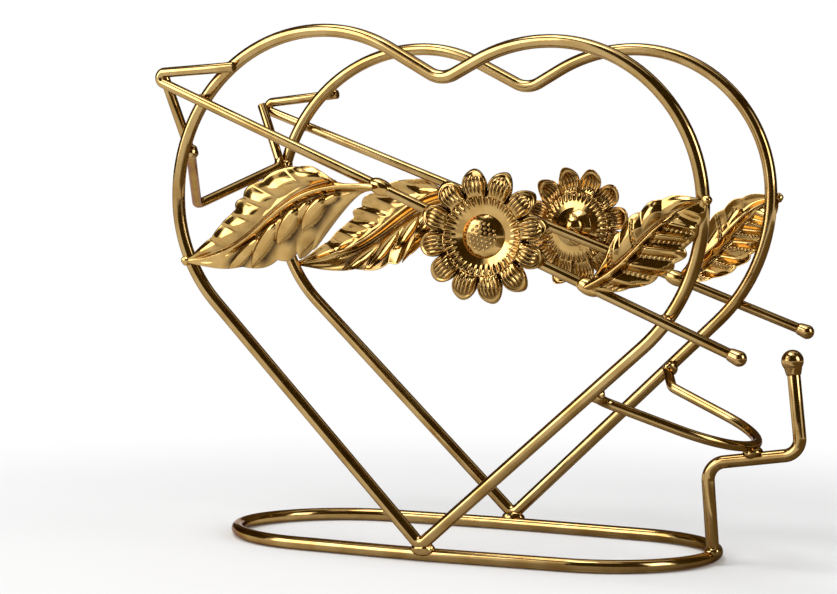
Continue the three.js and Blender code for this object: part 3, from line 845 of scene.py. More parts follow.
@dataclass
class Leaf:
    """A stamped leaf on its bowed midrib, drawn flat in the frame of its side."""

    pattern: LeafPattern
    stem: Vector
    tip: Vector
    facing: float = field(init=False)
    controls: list[Vector] = field(init=False)
    length: float = field(init=False)

    def __post_init__(self) -> None:
        """Works out the midrib's control points and its length."""
        chord = self.tip - self.stem
        level = Vector((chord.x, chord.y, 0)).normalized()
        upwards = Vector((-level.y, level.x, 0)) * math.copysign(1, level.x)
        self.facing = math.copysign(1, level.x)
        bows = (self.stem.lerp(self.tip, along) + upwards * bow for along, bow in self.pattern.handles)
        self.controls = [self.stem, *bows, self.tip]
        steps = 40
        places = [self.midrib(k / steps) for k in range(steps + 1)]
        self.length = sum((b - a).length for a, b in zip(places, places[1:]))

    def midrib(self, share: float) -> Vector:
        """A point on the midrib's Bezier curve.

        Args:
            share: Of the curve, from stem to tip.

        Returns:
            The point, in the frame of the side.
        """
        rest = 1 - share
        weights = (rest**3, 3 * rest**2 * share, 3 * rest * share**2, share**3)
        return sum((point * weight for point, weight in zip(self.controls, weights)), Vector())

    def along(self, share: float) -> Vector:
        """The midrib's direction in the plane of the drawing.

        Args:
            share: Of the midrib's length.

        Returns:
            A unit vector towards the tip.
        """
        step = 0.002
        run = self.midrib(min(1.0, share + step)) - self.midrib(max(0.0, share - step))
        return Vector((run.x, run.y, 0)).normalized()

    def across(self, share: float, side: int) -> Vector:
        """The direction away from the midrib towards its upper (1) or lower (-1) edge."""
        along = self.along(share)
        return Vector((-along.y, along.x, 0)) * self.facing * side

    def bud_lines(self) -> list[BudLine]:
        """Where the buds lie.

        Returns:
            Each bud with its root, its direction and the direction across it.
        """
        lines = []
        for bud in self.pattern.buds:
            along, down = self.along(bud.share), self.across(bud.share, -1)
            turn = math.radians(bud.angle)
            heading = along * math.cos(turn) + down * math.sin(turn)
            root = self.midrib(bud.share) + down * bud.offset
            lines.append((bud, root, heading, Vector((-heading.y, heading.x, 0))))
        return lines

    def emboss_upper(self, share: float, side: float, fade: float) -> Spot:
        """Relief of the upper half.

        Its swells lean over their neighbour on the tip side, and a valley parts them from the midrib.

        Args:
            share: Of the midrib's length.
            side: From 0 at the midrib to 1 at the edge.
            fade: How strong the relief is here.

        Returns:
            A height in millimetres and a weight of painted shade from 0 to 1.
        """
        p = self.pattern
        low, high = next(pair for pair in zip(p.swells, p.swells[1:]) if share <= pair[1])
        t = max(0.0, (share - low) / (high - low))
        if t < SWELL_PEAK:
            swell = math.sin(math.pi / 2 * t / SWELL_PEAK)
        else:
            swell = math.cos(math.pi / 2 * (t - SWELL_PEAK) / (1 - SWELL_PEAK))
        swell *= 1 + 0.5 * noise.noise(Vector((low * 31, side * 2.2, 4.0)))
        hump = smooth_step(0.2, 0.62, side) * (1 - 0.5 * smooth_step(0.7, 1.0, side))
        valley = bell(side, 0.24, 0.15)
        height = fade * p.crease * ((0.35 + 0.65 * swell) * hump - 0.3 * valley)
        fold = smooth_drop(0.0, 0.2, min(t, 1 - t)) * smooth_step(0.25, 0.45, side)
        # Painted shade in the valley by the midrib and in the folds between the swells
        shade = max(0.5 * valley * (1 - 0.5 * swell), 0.45 * fold * smooth_drop(0.6, 0.95, side))
        return height, shade * fade

    def emboss_lower(
        self, share: float, side: float, fade: float, place: Vector, lines: list[BudLine]
    ) -> Spot:
        """Relief of the lower half: slim bright buds beside the midrib over a smooth skirt.

        Args:
            share: Of the midrib's length.
            side: From 0 at the midrib to 1 at the edge.
            fade: How strong the relief is here.
            place: The place in the drawing's plane.
            lines: The buds, as bud_lines gives them.

        Returns:
            A height in millimetres and a weight of painted shade from 0 to 1.
        """
        p = self.pattern
        wave = math.sin(math.pi * p.lower.lobe(share))
        height = fade * p.skirt * wave * smooth_step(0.4, 0.8, side)
        if p.furrows:
            turns = (share - p.ribs[0]) / p.furrows
            height += fade * FURROW_DEPTH * math.cos(2 * math.pi * turns) * smooth_drop(0.7, 1.0, side)
        # Painted shade beside and along each bud, fading where the bud rises
        rise = shade = 0.0
        for bud, root, heading, beside in lines:
            offset = place - root
            rise = max(rise, bud.rise(offset.dot(heading), offset.dot(beside)))
            near = smooth_drop(0.8, 2.1, abs(offset.dot(beside)) / bud.width)
            run = offset.dot(heading) / bud.length
            shade = max(shade, near * smooth_step(-0.1, 0.1, run) * smooth_drop(0.7, 1.0, run))
        shade *= smooth_drop(0.05, 0.3, rise)
        return height + rise, shade * fade

    def vein_detail(self, share: float, spread: float, side: float, beads: Sequence[float]) -> Spot:
        """Rows of punched grains that lie in shallow troughs along the side veins.

        Args:
            share: Of the midrib's length.
            spread: Distance from the midrib in millimetres.
            side: From 0 at the midrib to 1 at the edge.
            beads: The shares where the rows start.

        Returns:
            A height in millimetres and a weight of painted shade from 0 to 1.
        """
        height = shade = 0.0
        for row in beads:
            apart = (share - row) * self.length * VEIN_SLANT
            if abs(apart) < TROUGH and 0.12 < side < 0.93:
                window = smooth_drop(0.6, TROUGH, abs(apart))
                ends = smooth_step(0.12, 0.2, side) * smooth_drop(0.85, 0.93, side)
                grain = (0.5 + 0.5 * math.cos(math.pi * apart / GRAIN_ACROSS)) * (
                    0.5 + 0.5 * math.cos(2 * math.pi * spread / GRAIN_ALONG)
                )
                height += (0.75 * smooth_step(0.2, 0.8, grain) - TROUGH_DEPTH) * window * ends
                # Painted shade in the troughs round each grain
                shade = max(shade, window * ends * smooth_drop(0.1, 0.45, grain))
        return height, shade

    def emboss(
        self, share: float, out: float, spread: float, place: Vector, lines: list[BudLine]
    ) -> Spot:
        """Height of the stamped relief above the plain blade, and how much painted shade its hollows
        get.

        Args:
            share: Of the midrib's length, where this place's side vein starts.
            out: From -1 at the lower edge to 1 at the upper edge.
            spread: Distance from the midrib in millimetres.
            place: The same place in the drawing's plane.
            lines: The buds, as bud_lines gives them.

        Returns:
            The height in millimetres and a weight of painted shade from 0 to 1.
        """
        p = self.pattern
        fade = smooth_step(0.0, 0.1, share) * smooth_drop(0.9, 1.0, share)
        side = abs(out)
        if out > 0:
            height, painted_shade = self.emboss_upper(share, side, fade)
        else:
            height, painted_shade = self.emboss_lower(share, side, fade, place, lines)
        grains, dark = self.vein_detail(share, spread, side, p.upper_beads if out > 0 else p.lower_beads)
        height, painted_shade = height + grains * fade, max(painted_shade, 0.6 * dark * fade)
        for rib in p.ribs if out < 0 else ():
            apart = abs(share - rib) * self.length * VEIN_SLANT
            girth = SIDE_RIB_GIRTH - SIDE_RIB_TAPER * side
            if apart < girth:
                ridge = math.sqrt(1 - (apart / girth) ** 2) * smooth_drop(0.75, 1.0, side)
                height = max(height, fade * SIDE_RIB_HEIGHT * ridge)
                painted_shade *= 1 - ridge
        width = p.rib_width * (1 - 0.6 * share)
        end = smooth_drop(p.rib_end - 0.1, p.rib_end, share)
        # Painted shade in the grooves that run beside the midrib
        groove = bell(spread / width, 1.12, 0.28) * end * fade
        height, painted_shade = height - 0.6 * groove, max(painted_shade, 0.7 * groove)
        if spread < width and share < p.rib_end:
            # A ridge with two rounded flanks, which catch the light differently
            roof = 1 - (spread / width) ** 1.7
            height = height * (1 - roof) + p.rib_height * (1 - 0.45 * share) * roof * end
            painted_shade *= smooth_step(0.8, 1.0, spread / width)
        return height, painted_shade

    def draw(self, bead: Vector, sleeve: Vector, rod: Vector) -> bmesh.types.BMesh:
        """Draws the blade, the solder that wraps the rod and the bead at the tip.

        Args:
            bead: Middle of the bead that joins the tip to the heart.
            sleeve: Middle of the solder on the rod.
            rod: The rod's direction.

        Returns:
            The leaf in the frame of its side.
        """
        p = self.pattern
        bm = bmesh.new()
        # Weights of painted shade, which darken the stamping's colour in the hollows
        painted_shade_layer = bm.verts.layers.float.new("painted_shade")
        rows = round(self.length * GRID_ROWS_PER_MM)
        bmesh.ops.create_grid(bm, x_segments=rows, y_segments=GRID_COLUMNS, size=0.5)
        lines = self.bud_lines()
        stations: dict[float, tuple[Vector, Vector, dict[int, tuple[LeafHalf, Vector, float]]]] = {}
        for vert in bm.verts:
            share, out = vert.co.x + 0.5, 2 * vert.co.y * self.facing
            key = round(share, 6)
            if key not in stations:
                halves = {
                    side: (half, self.across(share, side), p.half_width(half, share))
                    for side, half in ((1, p.upper), (-1, p.lower))
                }
                stations[key] = (self.midrib(share), self.along(share), halves)
            rib, along, halves = stations[key]
            half, across, width = halves[-1 if out < 0 else 1]
            # Columns crowd towards the midrib, where the relief is finest
            out = math.copysign(abs(out) ** 1.3, out)
            spread = abs(out) * width
            place = rib + across * spread + along * spread * math.tan(p.sweep)
            height, painted_shade = self.emboss(share, out, spread, place, lines)
            droop = half.fall * width * abs(out) ** (LOWER_DROOP if out < 0 else UPPER_DROOP)
            lift = p.crown * math.sin(math.pi * share) - droop + height
            vert.co = place + Z_AXIS * lift
            vert[painted_shade_layer] = min(1.0, painted_shade)
        if sum(face.normal.z for face in bm.faces) < 0:
            bmesh.ops.reverse_faces(bm, faces=bm.faces)
        thicken(bm, p.wall)
        Bead(bead, 1.8, seed=2.2).add_to(bm)
        self._add_sleeve(bm, sleeve, rod)
        return bm

    @staticmethod
    def _add_sleeve(bm: bmesh.types.BMesh, sleeve: Vector, rod: Vector) -> None:
        """Adds the smooth drop of solder that holds the stem on the rod.

        Args:
            bm: The mesh of the leaf.
            sleeve: Middle of the solder.
            rod: The rod's direction.
        """
        made = bmesh.ops.create_icosphere(bm, subdivisions=4, radius=1.0)["verts"]
        for vert in made:
            vert.co *= 1 + 0.05 * noise.noise(vert.co * 1.7 + sleeve)
        reach, half_length = THIN_WIRE / 2 + 1.0, 5.2
        bmesh.ops.scale(bm, vec=Vector((reach, reach, half_length)), verts=made)
        bmesh.ops.transform(bm, matrix=aimed(rod, sleeve), verts=made)


@dataclass
class Sunflower:
    """A stamped dish ringed with twelve ribbed petals, and the domed seed head in it."""

    petals: int = 12
    turn: float = math.radians(9)
    facing: float = math.radians(7)
    radius: float = 23.9
    cleft_radius: float = 17.2
    crest_radius: float = 14.0
    crest_height: float = 3.0
    seat_height: float = 0.7
    petal_drop: float = 2.3
    petal_arch: float = 2.7
    petal_ribs: int = 6
    petal_rib_depth: float = 0.28
    parting_depth: float = 1.2
    flute_depth: float = 0.45
    wall: float = 0.9
    grain_radius: float = 0.5
    head_radius: float = 7.7
    head_height: float = 2.8
    head_seat: float = 0.9
    seed_row: float = 1.35
    seed_spacing: float = 1.9
    seed_height: float = 0.38
    seed_slant: float = math.radians(42)
    solder_depth: float = 1.5
    solder_radii: Spot = (4.9, 4.4)

    def on_plate(self, radius: float, across: float, height: float) -> Vector:
        """A point of the plate with its petal along +X."""
        angle = across * math.pi / self.petals
        return Vector((radius * math.cos(angle), radius * math.sin(angle), height))

    def petal_place(self, across: float, out: float) -> tuple[Vector, float]:
        """A point of one petal.

        Args:
            across: From -1 to 1 between the clefts at its two sides.
            out: From 0 at the rim of the dish to 1 at the petal's edge.

        Returns:
            The point, with the petal along +X, and its weight of painted shade from 0 to 1.
        """
        side = abs(across)
        edge = self.cleft_radius + (self.radius - self.cleft_radius) * (1 - side**1.65) ** 0.64
        radius = self.crest_radius + (edge - self.crest_radius) * out
        true_out = (radius - self.crest_radius) / (self.radius - self.crest_radius)
        height = self.crest_height - self.petal_drop * true_out**2
        arch = math.sin(math.pi * min(1.0, true_out * 0.92 + 0.08))
        height += self.petal_arch * (1 - side**2.2) * arch
        # Parting between neighbours
        parting = smooth_step(0.84, 1.0, side) * smooth_drop(0.9, 1.0, out)
        height -= self.parting_depth * parting
        # The rim follows the petal's tip and its sides
        sideways = side * smooth_step(0.1, 0.45, out)
        rim = (out**7 + sideways**7) ** (1 / 7)
        # Ribs draw together towards the tip
        rib = math.cos(self.petal_ribs * math.pi * across / (1 - 0.45 * true_out**2))
        strength = smooth_drop(0.7, 0.8, rim) * smooth_step(0.0, 0.3, out)
        height += self.petal_rib_depth * rib * strength
        groove = bell(rim, 0.8, 0.055)
        height += 0.4 * bell(rim, 0.91, 0.06) - 0.4 * groove
        # Painted shade between the ribs, in the groove inside the rim and in the partings
        painted_shade = max(0.9 * (0.5 - 0.5 * rib) ** 2 * strength, 0.5 * groove, parting)
        return self.on_plate(radius, across, height), painted_shade

    def dish_place(self, across: float, out: float) -> tuple[Vector, float]:
        """A point of the dish inside the petals, which is fluted towards its rim.

        Args:
            across: From -1 to 1 over the width of one petal.
            out: From 0 at the seat to 1 at the rim.

        Returns:
            The point, with the petal along +X, and its weight of painted shade from 0 to 1.
        """
        start = self.head_radius - 0.2
        flutes = math.cos(3 * math.pi * across)
        strength = smooth_step(0.35, 0.85, out) * smooth_drop(0.95, 1.0, out)
        slope = self.seat_height + (self.crest_height - self.seat_height) * out
        height = slope + self.flute_depth * flutes * strength
        point = self.on_plate(start + (self.crest_radius - start) * out, across, height)
        # Painted shade in the hollows of the flutes
        return point, (0.25 - 0.25 * flutes) * strength

    def draw_petals(self) -> bmesh.types.BMesh:
        """Draws one petal with its share of the dish and repeats it round the centre.

        Returns:
            The plate in its own frame, its back on the plane z = 0.
        """
        bm = bmesh.new()
        # Weights of painted shade for the hollows of the petals and the dish
        painted_shade_layer = bm.verts.layers.float.new("painted_shade")
        for rows, place in ((28, self.petal_place), (16, self.dish_place)):
            made = bmesh.ops.create_grid(bm, x_segments=64, y_segments=rows, size=0.5)["verts"]
            for vert in made:
                point, painted_shade = place(2 * vert.co.x, vert.co.y + 0.5)
                vert.co = point
                vert[painted_shade_layer] = painted_shade
        repeat_round(bm, self.petals)
        bmesh.ops.remove_doubles(bm, verts=bm.verts, dist=0.01)
        close_holes(bm, self.head_radius)
        bmesh.ops.recalc_face_normals(bm, faces=bm.faces)
        if sum(face.normal.z * face.calc_area() for face in bm.faces) < 0:
            bmesh.ops.reverse_faces(bm, faces=bm.faces)
        bmesh.ops.translate(bm, vec=(0, 0, self.wall), verts=bm.verts)
        thicken(bm, self.wall)
        self._add_grains(bm)
        # The solder reaches up into the plate, whose seat lies above the plane of its back
        back, front = self.solder_radii
        solder = bmesh.ops.create_cone(
            bm, cap_ends=True, segments=40, radius1=back, radius2=front, depth=self.solder_depth + 1.6
        )["verts"]
        bmesh.ops.translate(bm, vec=(0, 0, -self.solder_depth / 2 - 0.3), verts=solder)
        bmesh.ops.rotate(bm, cent=(0, 0, 0), matrix=Matrix.Rotation(self.turn, 3, "Z"), verts=bm.verts)
        return bm

    def _add_grains(self, bm: bmesh.types.BMesh) -> None:
        """Adds the ring of small grains along the rim of the dish, from a mesh of their own.

        Args:
            bm: The plate, with its petals along +X.
        """
        count = 4 * self.petals
        grains = bmesh.new()
        made = bmesh.ops.create_uvsphere(grains, u_segments=12, v_segments=8, radius=self.grain_radius)
        ball = made["verts"]
        bmesh.ops.scale(grains, vec=(1.1, 0.8, 0.8), verts=ball)
        spot = Vector((self.crest_radius - 0.2, 0, self.crest_height + self.wall + 0.25))
        bmesh.ops.translate(grains, vec=spot, verts=ball)
        half_step = Matrix.Rotation(math.pi / count, 3, "Z")
        bmesh.ops.rotate(grains, cent=(0, 0, 0), matrix=half_step, verts=ball)
        repeat_round(grains, count)
        mesh = bpy.data.meshes.new("grains")
        grains.to_mesh(mesh)
        grains.free()
        bm.from_mesh(mesh)
        bpy.data.meshes.remove(mesh)

    def draw_head(self) -> bmesh.types.BMesh:
        """Draws the seed head: a smooth dome with slanting rows of small seeds in its middle.

        Returns:
            The dome on the seat of the dish, closed below.
        """
        bm = bmesh.new()
        painted_shade_layer = bm.verts.layers.float.new("painted_shade")
        bmesh.ops.create_uvsphere(bm, u_segments=160, v_segments=160, radius=1.0)
        below = [vert for vert in bm.verts if vert.co.z < -0.001]
        bmesh.ops.delete(bm, geom=below, context="VERTS")
        slant = self.seed_slant
        ball = (self.head_radius**2 + self.head_height**2) / (2 * self.head_height)
        steepest = math.asin(self.head_radius / ball)
        for vert in bm.verts:
            # A shallow cap, which meets the dish at an angle
            tilt = math.acos(min(1.0, max(0.0, vert.co.z))) / (math.pi / 2) * steepest
            about = math.atan2(vert.co.y, vert.co.x)
            level = math.sin(tilt)
            normal = Vector((level * math.cos(about), level * math.sin(about), math.cos(tilt)))
            x, y = normal.x * ball, normal.y * ball
            row = (y * math.cos(slant) - x * math.sin(slant)) / self.seed_row
            place = (x * math.cos(slant) + y * math.sin(slant)) / self.seed_spacing + 0.5 * round(row)
            window = smooth_drop(0.55, 0.74, math.hypot(x, y) / self.head_radius)
            off_row, off_seed = row - round(row), place - round(place)
            peak = math.cos(math.pi * off_row) ** 2 * math.cos(math.pi * off_seed) ** 2
            bump = smooth_step(0.2, 0.95, peak)
            # Painted shade in the hollows between the seeds
            vert[painted_shade_layer] = smooth_drop(0.1, 0.5, bump) * window * 0.6
            lift = self.seed_height * (bump - 0.3) * window
            vert.co = normal * (ball + lift) - Z_AXIS * (ball - self.head_height)
        rim = [edge for edge in bm.edges if edge.is_boundary]
        made = bmesh.ops.extrude_edge_only(bm, edges=rim)["geom"]
        bmesh.ops.translate(bm, vec=(0, 0, -1.2), verts=verts_of(made))
        close_holes(bm)
        bmesh.ops.recalc_face_normals(bm, faces=bm.faces)
        bmesh.ops.translate(bm, vec=(0, 0, self.wall + self.head_seat), verts=bm.verts)
        return bm

    def seat(self, on_arrow: Vector) -> Matrix:
        """The placement of the flower on its arrow, in the frame of its side."""
        lift = Vector((0, 0, THIN_WIRE / 2 + self.solder_depth))
        return Matrix.Translation(on_arrow + lift) @ Matrix.Rotation(self.facing, 4, "Y")


LONG_PATTERN = LeafPattern(
    handles=((0.46, 19.1), (0.51, -11.1)),
    crown=4.6,
    upper=LeafHalf(
        (
            (0, 1.3), (0.12, 1.8), (0.17, 9.4), (0.25, 12.2),
            (0.4, 15.0), (0.6, 12.0), (0.8, 8.0), (1, 0.5),
        ),
        notches=(0.2, 0.34, 0.45, 0.53, 0.8),
        fall=0.25,
    ),
    lower=LeafHalf(
        (
            (0, 1.3), (0.04, 4.6), (0.09, 23.6), (0.2, 22.4),
            (0.35, 17.4), (0.55, 12.8), (0.8, 6.0), (1, 0.5),
        ),
        notches=(0.115, 0.3, 0.5, 0.72),
        fall=0.31,
    ),
    # Share, offset, angle, length, width and height of each
    buds=(
        Bud(0.13, 2.8, 26, 8.0, 1.6, 1.3),
        Bud(0.19, 3.1, 38, 16.0, 3.0, 2.4),
        Bud(0.275, 2.9, 31, 10.0, 1.8, 1.5),
        Bud(0.34, 3.1, 27, 17.0, 3.2, 2.5),
        Bud(0.45, 2.9, 22, 8.5, 1.7, 1.4),
        Bud(0.49, 3.0, 16, 21.0, 2.9, 2.4),
        Bud(0.63, 3.0, 5, 21.0, 2.2, 1.7),
    ),
    swells=(0.0, 0.16, 0.25, 0.38, 0.47, 0.58, 0.68, 0.82, 1.0),
)
SHORT_PATTERN = LeafPattern(
    handles=((0.46, -4.5), (0.55, 6.2)),
    crown=2.2,
    upper=LeafHalf(
        ((0, 1.3), (0.05, 3.4), (0.12, 8.0), (0.2, 10.3), (0.5, 9.2), (0.75, 6.8), (1, 0.5)),
        notches=(0.24, 0.51, 0.7),
        fall=0.24,
    ),
    lower=LeafHalf(
        (
            (0, 1.3), (0.05, 5.9), (0.2, 11.0), (0.38, 13.1),
            (0.5, 12.0), (0.7, 9.6), (0.9, 4.8), (1, 0.5),
        ),
        notches=(0.1, 0.23, 0.34, 0.48, 0.78),
        fall=0.42,
    ),
    upper_beads=(0.16, 0.4),
    lower_beads=(0.07, 0.21, 0.37, 0.53, 0.67),
    ribs=(0.135, 0.285, 0.45, 0.6, 0.74),
    furrows=0.152,
    rib_width=1.8,
    rib_height=2.4,
    rib_end=0.82,
    skirt=0.15,
    swells=(0.0, 0.24, 0.51, 0.7, 1.0),
)

# How far the arrow, the leaves' stems and their tips stand out from the heart's plane
ARROW_DEPTH = 4.8
STEM_DEPTH = 8.0
TIP_DEPTH = 3.7


@dataclass
class Side:
    """One flank of the rack: heart, arrow, sunflower and leaves, drawn flat as seen from outside.

    Spots are x and y in the heart's plane. A leaf is given by the spots of its stem and its tip.
    """

    name: str
    finishes: Finishes
    outward: int
    origin: tuple[float, float, float]
    tilt: float
    arrow_tip: Spot
    arrow_tail: Spot
    barb_end: Spot
    flower: Spot
    long_leaf: tuple[Spot, Spot]
    short_leaf: tuple[Spot, Spot]
    crossings: tuple[Spot, Spot]
    lean: float = math.radians(1.95)
    toe: float = math.radians(1.1)
    heart: tuple[tuple[float, float, float], ...] = (
        (0.0, 0.0, 3.0),
        (107.0, 94.5, 64.5),
        (107.0, 180.8, 56.6),
        (35.4, 180.8, 58.9),
        (9.2, 167.2, 10.1),
        (-23.8, 185.6, 56.0),
        (-100.2, 185.6, 61.2),
        (-100.2, 101.3, 54.2),
    )
    arrow_bend: float = 2.05
    arrow_knob: float = 5.6

    def place(self) -> Matrix:
        """Works out how the side stands.

        Returns:
            From the flat drawing to the rack. The back side's drawing is mirrored.
        """
        side = -self.outward
        turn = (
            Matrix.Rotation(side * self.toe, 4, "Z")
            @ Matrix.Rotation(-side * self.lean, 4, "X")
            @ Matrix.Rotation(-self.tilt, 4, "Y")
        )
        stand = Matrix(((1, 0, 0, 0), (0, 0, side, 0), (0, 1, 0, 0), (0, 0, 0, 1)))
        return Matrix.Translation(Vector(self.origin)) @ turn @ stand

    def build(self) -> None:
        """Builds every piece of the side and stands it in the rack."""
        place = self.place()
        rows = [(x, y, 0, bend) for x, y, bend in self.heart]
        heart = BentWire.through(rows, FRAME_WIRE, closed=True).draw()
        Bead((0.5, -1.4, -1.0), 3.5, (1.25, 0.85, 0.85), 6.0 + self.outward).add_to(heart)
        self._finish(heart, "heart_wire", Plating.WIRE, "heart", place)

        tip, tail = Vector((*self.arrow_tip, ARROW_DEPTH)), Vector((*self.arrow_tail, ARROW_DEPTH))
        rod = (tail - tip).normalized()
        self._build_arrow(place, tip, tail, rod)

        sunflower = Sunflower()
        seat = place @ sunflower.seat(Vector((*self.flower, ARROW_DEPTH)))
        petals, head = sunflower.draw_petals(), sunflower.draw_head()
        self._finish(petals, "sunflower_petals", Plating.STAMPING, "flower_petals", seat)
        self._finish(head, "sunflower_head", Plating.STAMPING, "flower_centre", seat)

        for node, pattern, (stem, end) in (
            ("long_leaf", LONG_PATTERN, self.long_leaf),
            ("short_leaf", SHORT_PATTERN, self.short_leaf),
        ):
            leaf = Leaf(pattern, Vector((*stem, STEM_DEPTH)), Vector((*end, TIP_DEPTH)))
            sleeve = tip.lerp(tail, (leaf.stem.x - tip.x) / (tail.x - tip.x))
            bead = Vector((*end, FRAME_WIRE / 2 + 0.4))
            self._finish(leaf.draw(bead, sleeve, rod), f"{node}_blade", Plating.STAMPING, node, place)

    def _build_arrow(self, place: Matrix, tip: Vector, tail: Vector, rod: Vector) -> None:
        """Builds the arrow with its beads and the ball on its tail.

        Args:
            place: From the flat drawing to the rack.
            tip: Where the rod turns back to its barb.
            tail: Middle of the ball.
            rod: From tip to tail.
        """
        barb_end = Vector((*self.barb_end, ARROW_DEPTH))
        corners = [(tail - rod * self.arrow_knob / 2, 0), (tip, self.arrow_bend), (barb_end, 0)]
        arrow = BentWire(corners, THIN_WIRE).draw()
        for i, crossing in enumerate(self.crossings):
            Bead((*crossing, ARROW_DEPTH / 2), 2.3, (1.1, 1.0, 0.9), 11.0 + 3 * i).add_to(arrow)
        on_barb = barb_end + Vector((-3.6, 0, -ARROW_DEPTH / 2))
        Bead(on_barb, 2.5, (1.15, 0.8, 1.0), 8.8).add_to(arrow)
        self._finish(arrow, "arrow_wire", Plating.WIRE, "arrow", place)
        ball = ball_on_wire(self.arrow_knob, THIN_WIRE)
        self._finish(ball, "arrow_ball", Plating.KNOB, "arrow_knob", place @ aimed(rod, tail))

    def _finish(self, bm: bmesh.types.BMesh, name: str, slot: Plating, node: str, place: Matrix) -> None:
        """Finishes one piece under this side's name."""
        finish_piece(bm, f"{self.name}_{name}", self.finishes, slot, f"{self.name}_{node}", place)


def both_sides(finishes: Finishes) -> tuple[Side, Side]:
    """The flank that faces the camera, and the one behind, welded lower and further to the neck.

    Args:
        finishes: The material of each slot.

    Returns:
        The front side and the back side.
    """
    front = Side(
        name="front",
        finishes=finishes,
        outward=1,
        origin=(-3.4, -47.06, 5.88),
        tilt=0.0,
        arrow_tip=(-111.6, 170.1),
        arrow_tail=(121.8, 73.6),
        barb_end=(-73.0, 172.6),
        flower=(29.6, 113.02),
        long_leaf=((-13.2, 129.4), (-95.6, 100.7)),
        short_leaf=((67.4, 96.1), (109.4, 126.6)),
        crossings=((94.05, 85.08), (-88.2, 160.43)),
    )
    back = Side(
        name="back",
        finishes=finishes,
        outward=-1,
        origin=(-6.5, 47.12, 5.88),
        tilt=math.radians(2.65),
        arrow_tip=(-114.6, 167.2),
        arrow_tail=(118.8, 70.7),
        barb_end=(-76.0, 169.7),
        flower=(23.8, 112.98),
        long_leaf=((-13.2, 125.3), (-95.6, 100.8)),
        short_leaf=((67.4, 92.0), (109.1, 121.7)),
        crossings=((91.6, 81.95), (-90.45, 157.22)),
    )
    return front, back


# ------------------------------------------------------------------ studio

WHITE = "#FFFFFF"
PAPER = "#F4F4F4"
# In the gold, felt gives the dark brown lines, card the lighter ones and thin cloth the soft shade
FELT = "#54441F"
CARD = "#7C6D4E"
THIN_CLOTH = "#766646"


def bearing(azimuth: float, elevation: float) -> Vector:
    """The direction of a bearing in degrees. Azimuth 0 is in front of the rack, at -Y, and 90 at +X."""
    turn, rise = math.radians(azimuth), math.radians(elevation)
    return Vector((math.sin(turn) * math.cos(rise), -math.cos(turn) * math.cos(rise), math.sin(rise)))


def hang(cloth: bpy.types.Object) -> None:
    """Makes a cloth one that is only mirrored: it is in no picture and stops no light.

    Args:
        cloth: The cloth's object.
    """
    cloth.visible_camera = False
    cloth.visible_shadow = False
    cloth.visible_diffuse = False


def matt(name: str, colour: str) -> bpy.types.Material:
    """Matt dark felt or card, which the metal mirrors as brown shade.

    Args:
        name: The material's name.
        colour: Its colour as a hex code.

    Returns:
        The new material.
    """
    material = bpy.data.materials.new(name)
    tree = blank_tree(material)
    shader = add_node(tree, "ShaderNodeBsdfDiffuse", {"Color": linear(colour)})
    add_node(tree, "ShaderNodeOutputMaterial", links={"Surface": shader.outputs["BSDF"]})
    return material


@dataclass(frozen=True)
class SoftBox:
    """A rectangular studio light, aimed at the rack."""

    name: str
    azimuth: float
    elevation: float
    size: Spot
    watts: float
    distance: float = 1.6

    def build(self, target: Vector) -> None:
        """Adds the light.

        Args:
            target: The point that it is aimed at.
        """
        lamp = bpy.data.lights.new(self.name, "AREA")
        lamp.shape = "RECTANGLE"
        lamp.size, lamp.size_y = self.size
        lamp.energy = self.watts
        holder = bpy.data.objects.new(self.name, lamp)
        away = bearing(self.azimuth, self.elevation)
        holder.location = target + away * self.distance
        holder.rotation_euler = (-away).to_track_quat("-Z", "Y").to_euler()
        holder.visible_camera = False
        bpy.context.scene.collection.objects.link(holder)


@dataclass(frozen=True)
class Flag:
    """A dark cloth hung round part of the set, out of the picture, that the bright metal mirrors."""

    name: str
    azimuths: Spot
    elevations: Spot
    colour: str = FELT
    distance: float = 2.6

    def build(self, target: Vector, material: bpy.types.Material) -> None:
        """Adds the cloth, bowed round the rack.

        Args:
            target: The point that it is bowed round.
            material: Its material.
        """
        bm = bmesh.new()
        bmesh.ops.create_grid(bm, x_segments=12, y_segments=8, size=0.5)
        (left, right), (low, high) = self.azimuths, self.elevations
        for vert in bm.verts:
            azimuth = left + (right - left) * (vert.co.x + 0.5)
            elevation = low + (high - low) * (vert.co.y + 0.5)
            vert.co = target + bearing(azimuth, elevation) * self.distance
        hang(make_object(bm, self.name, material))


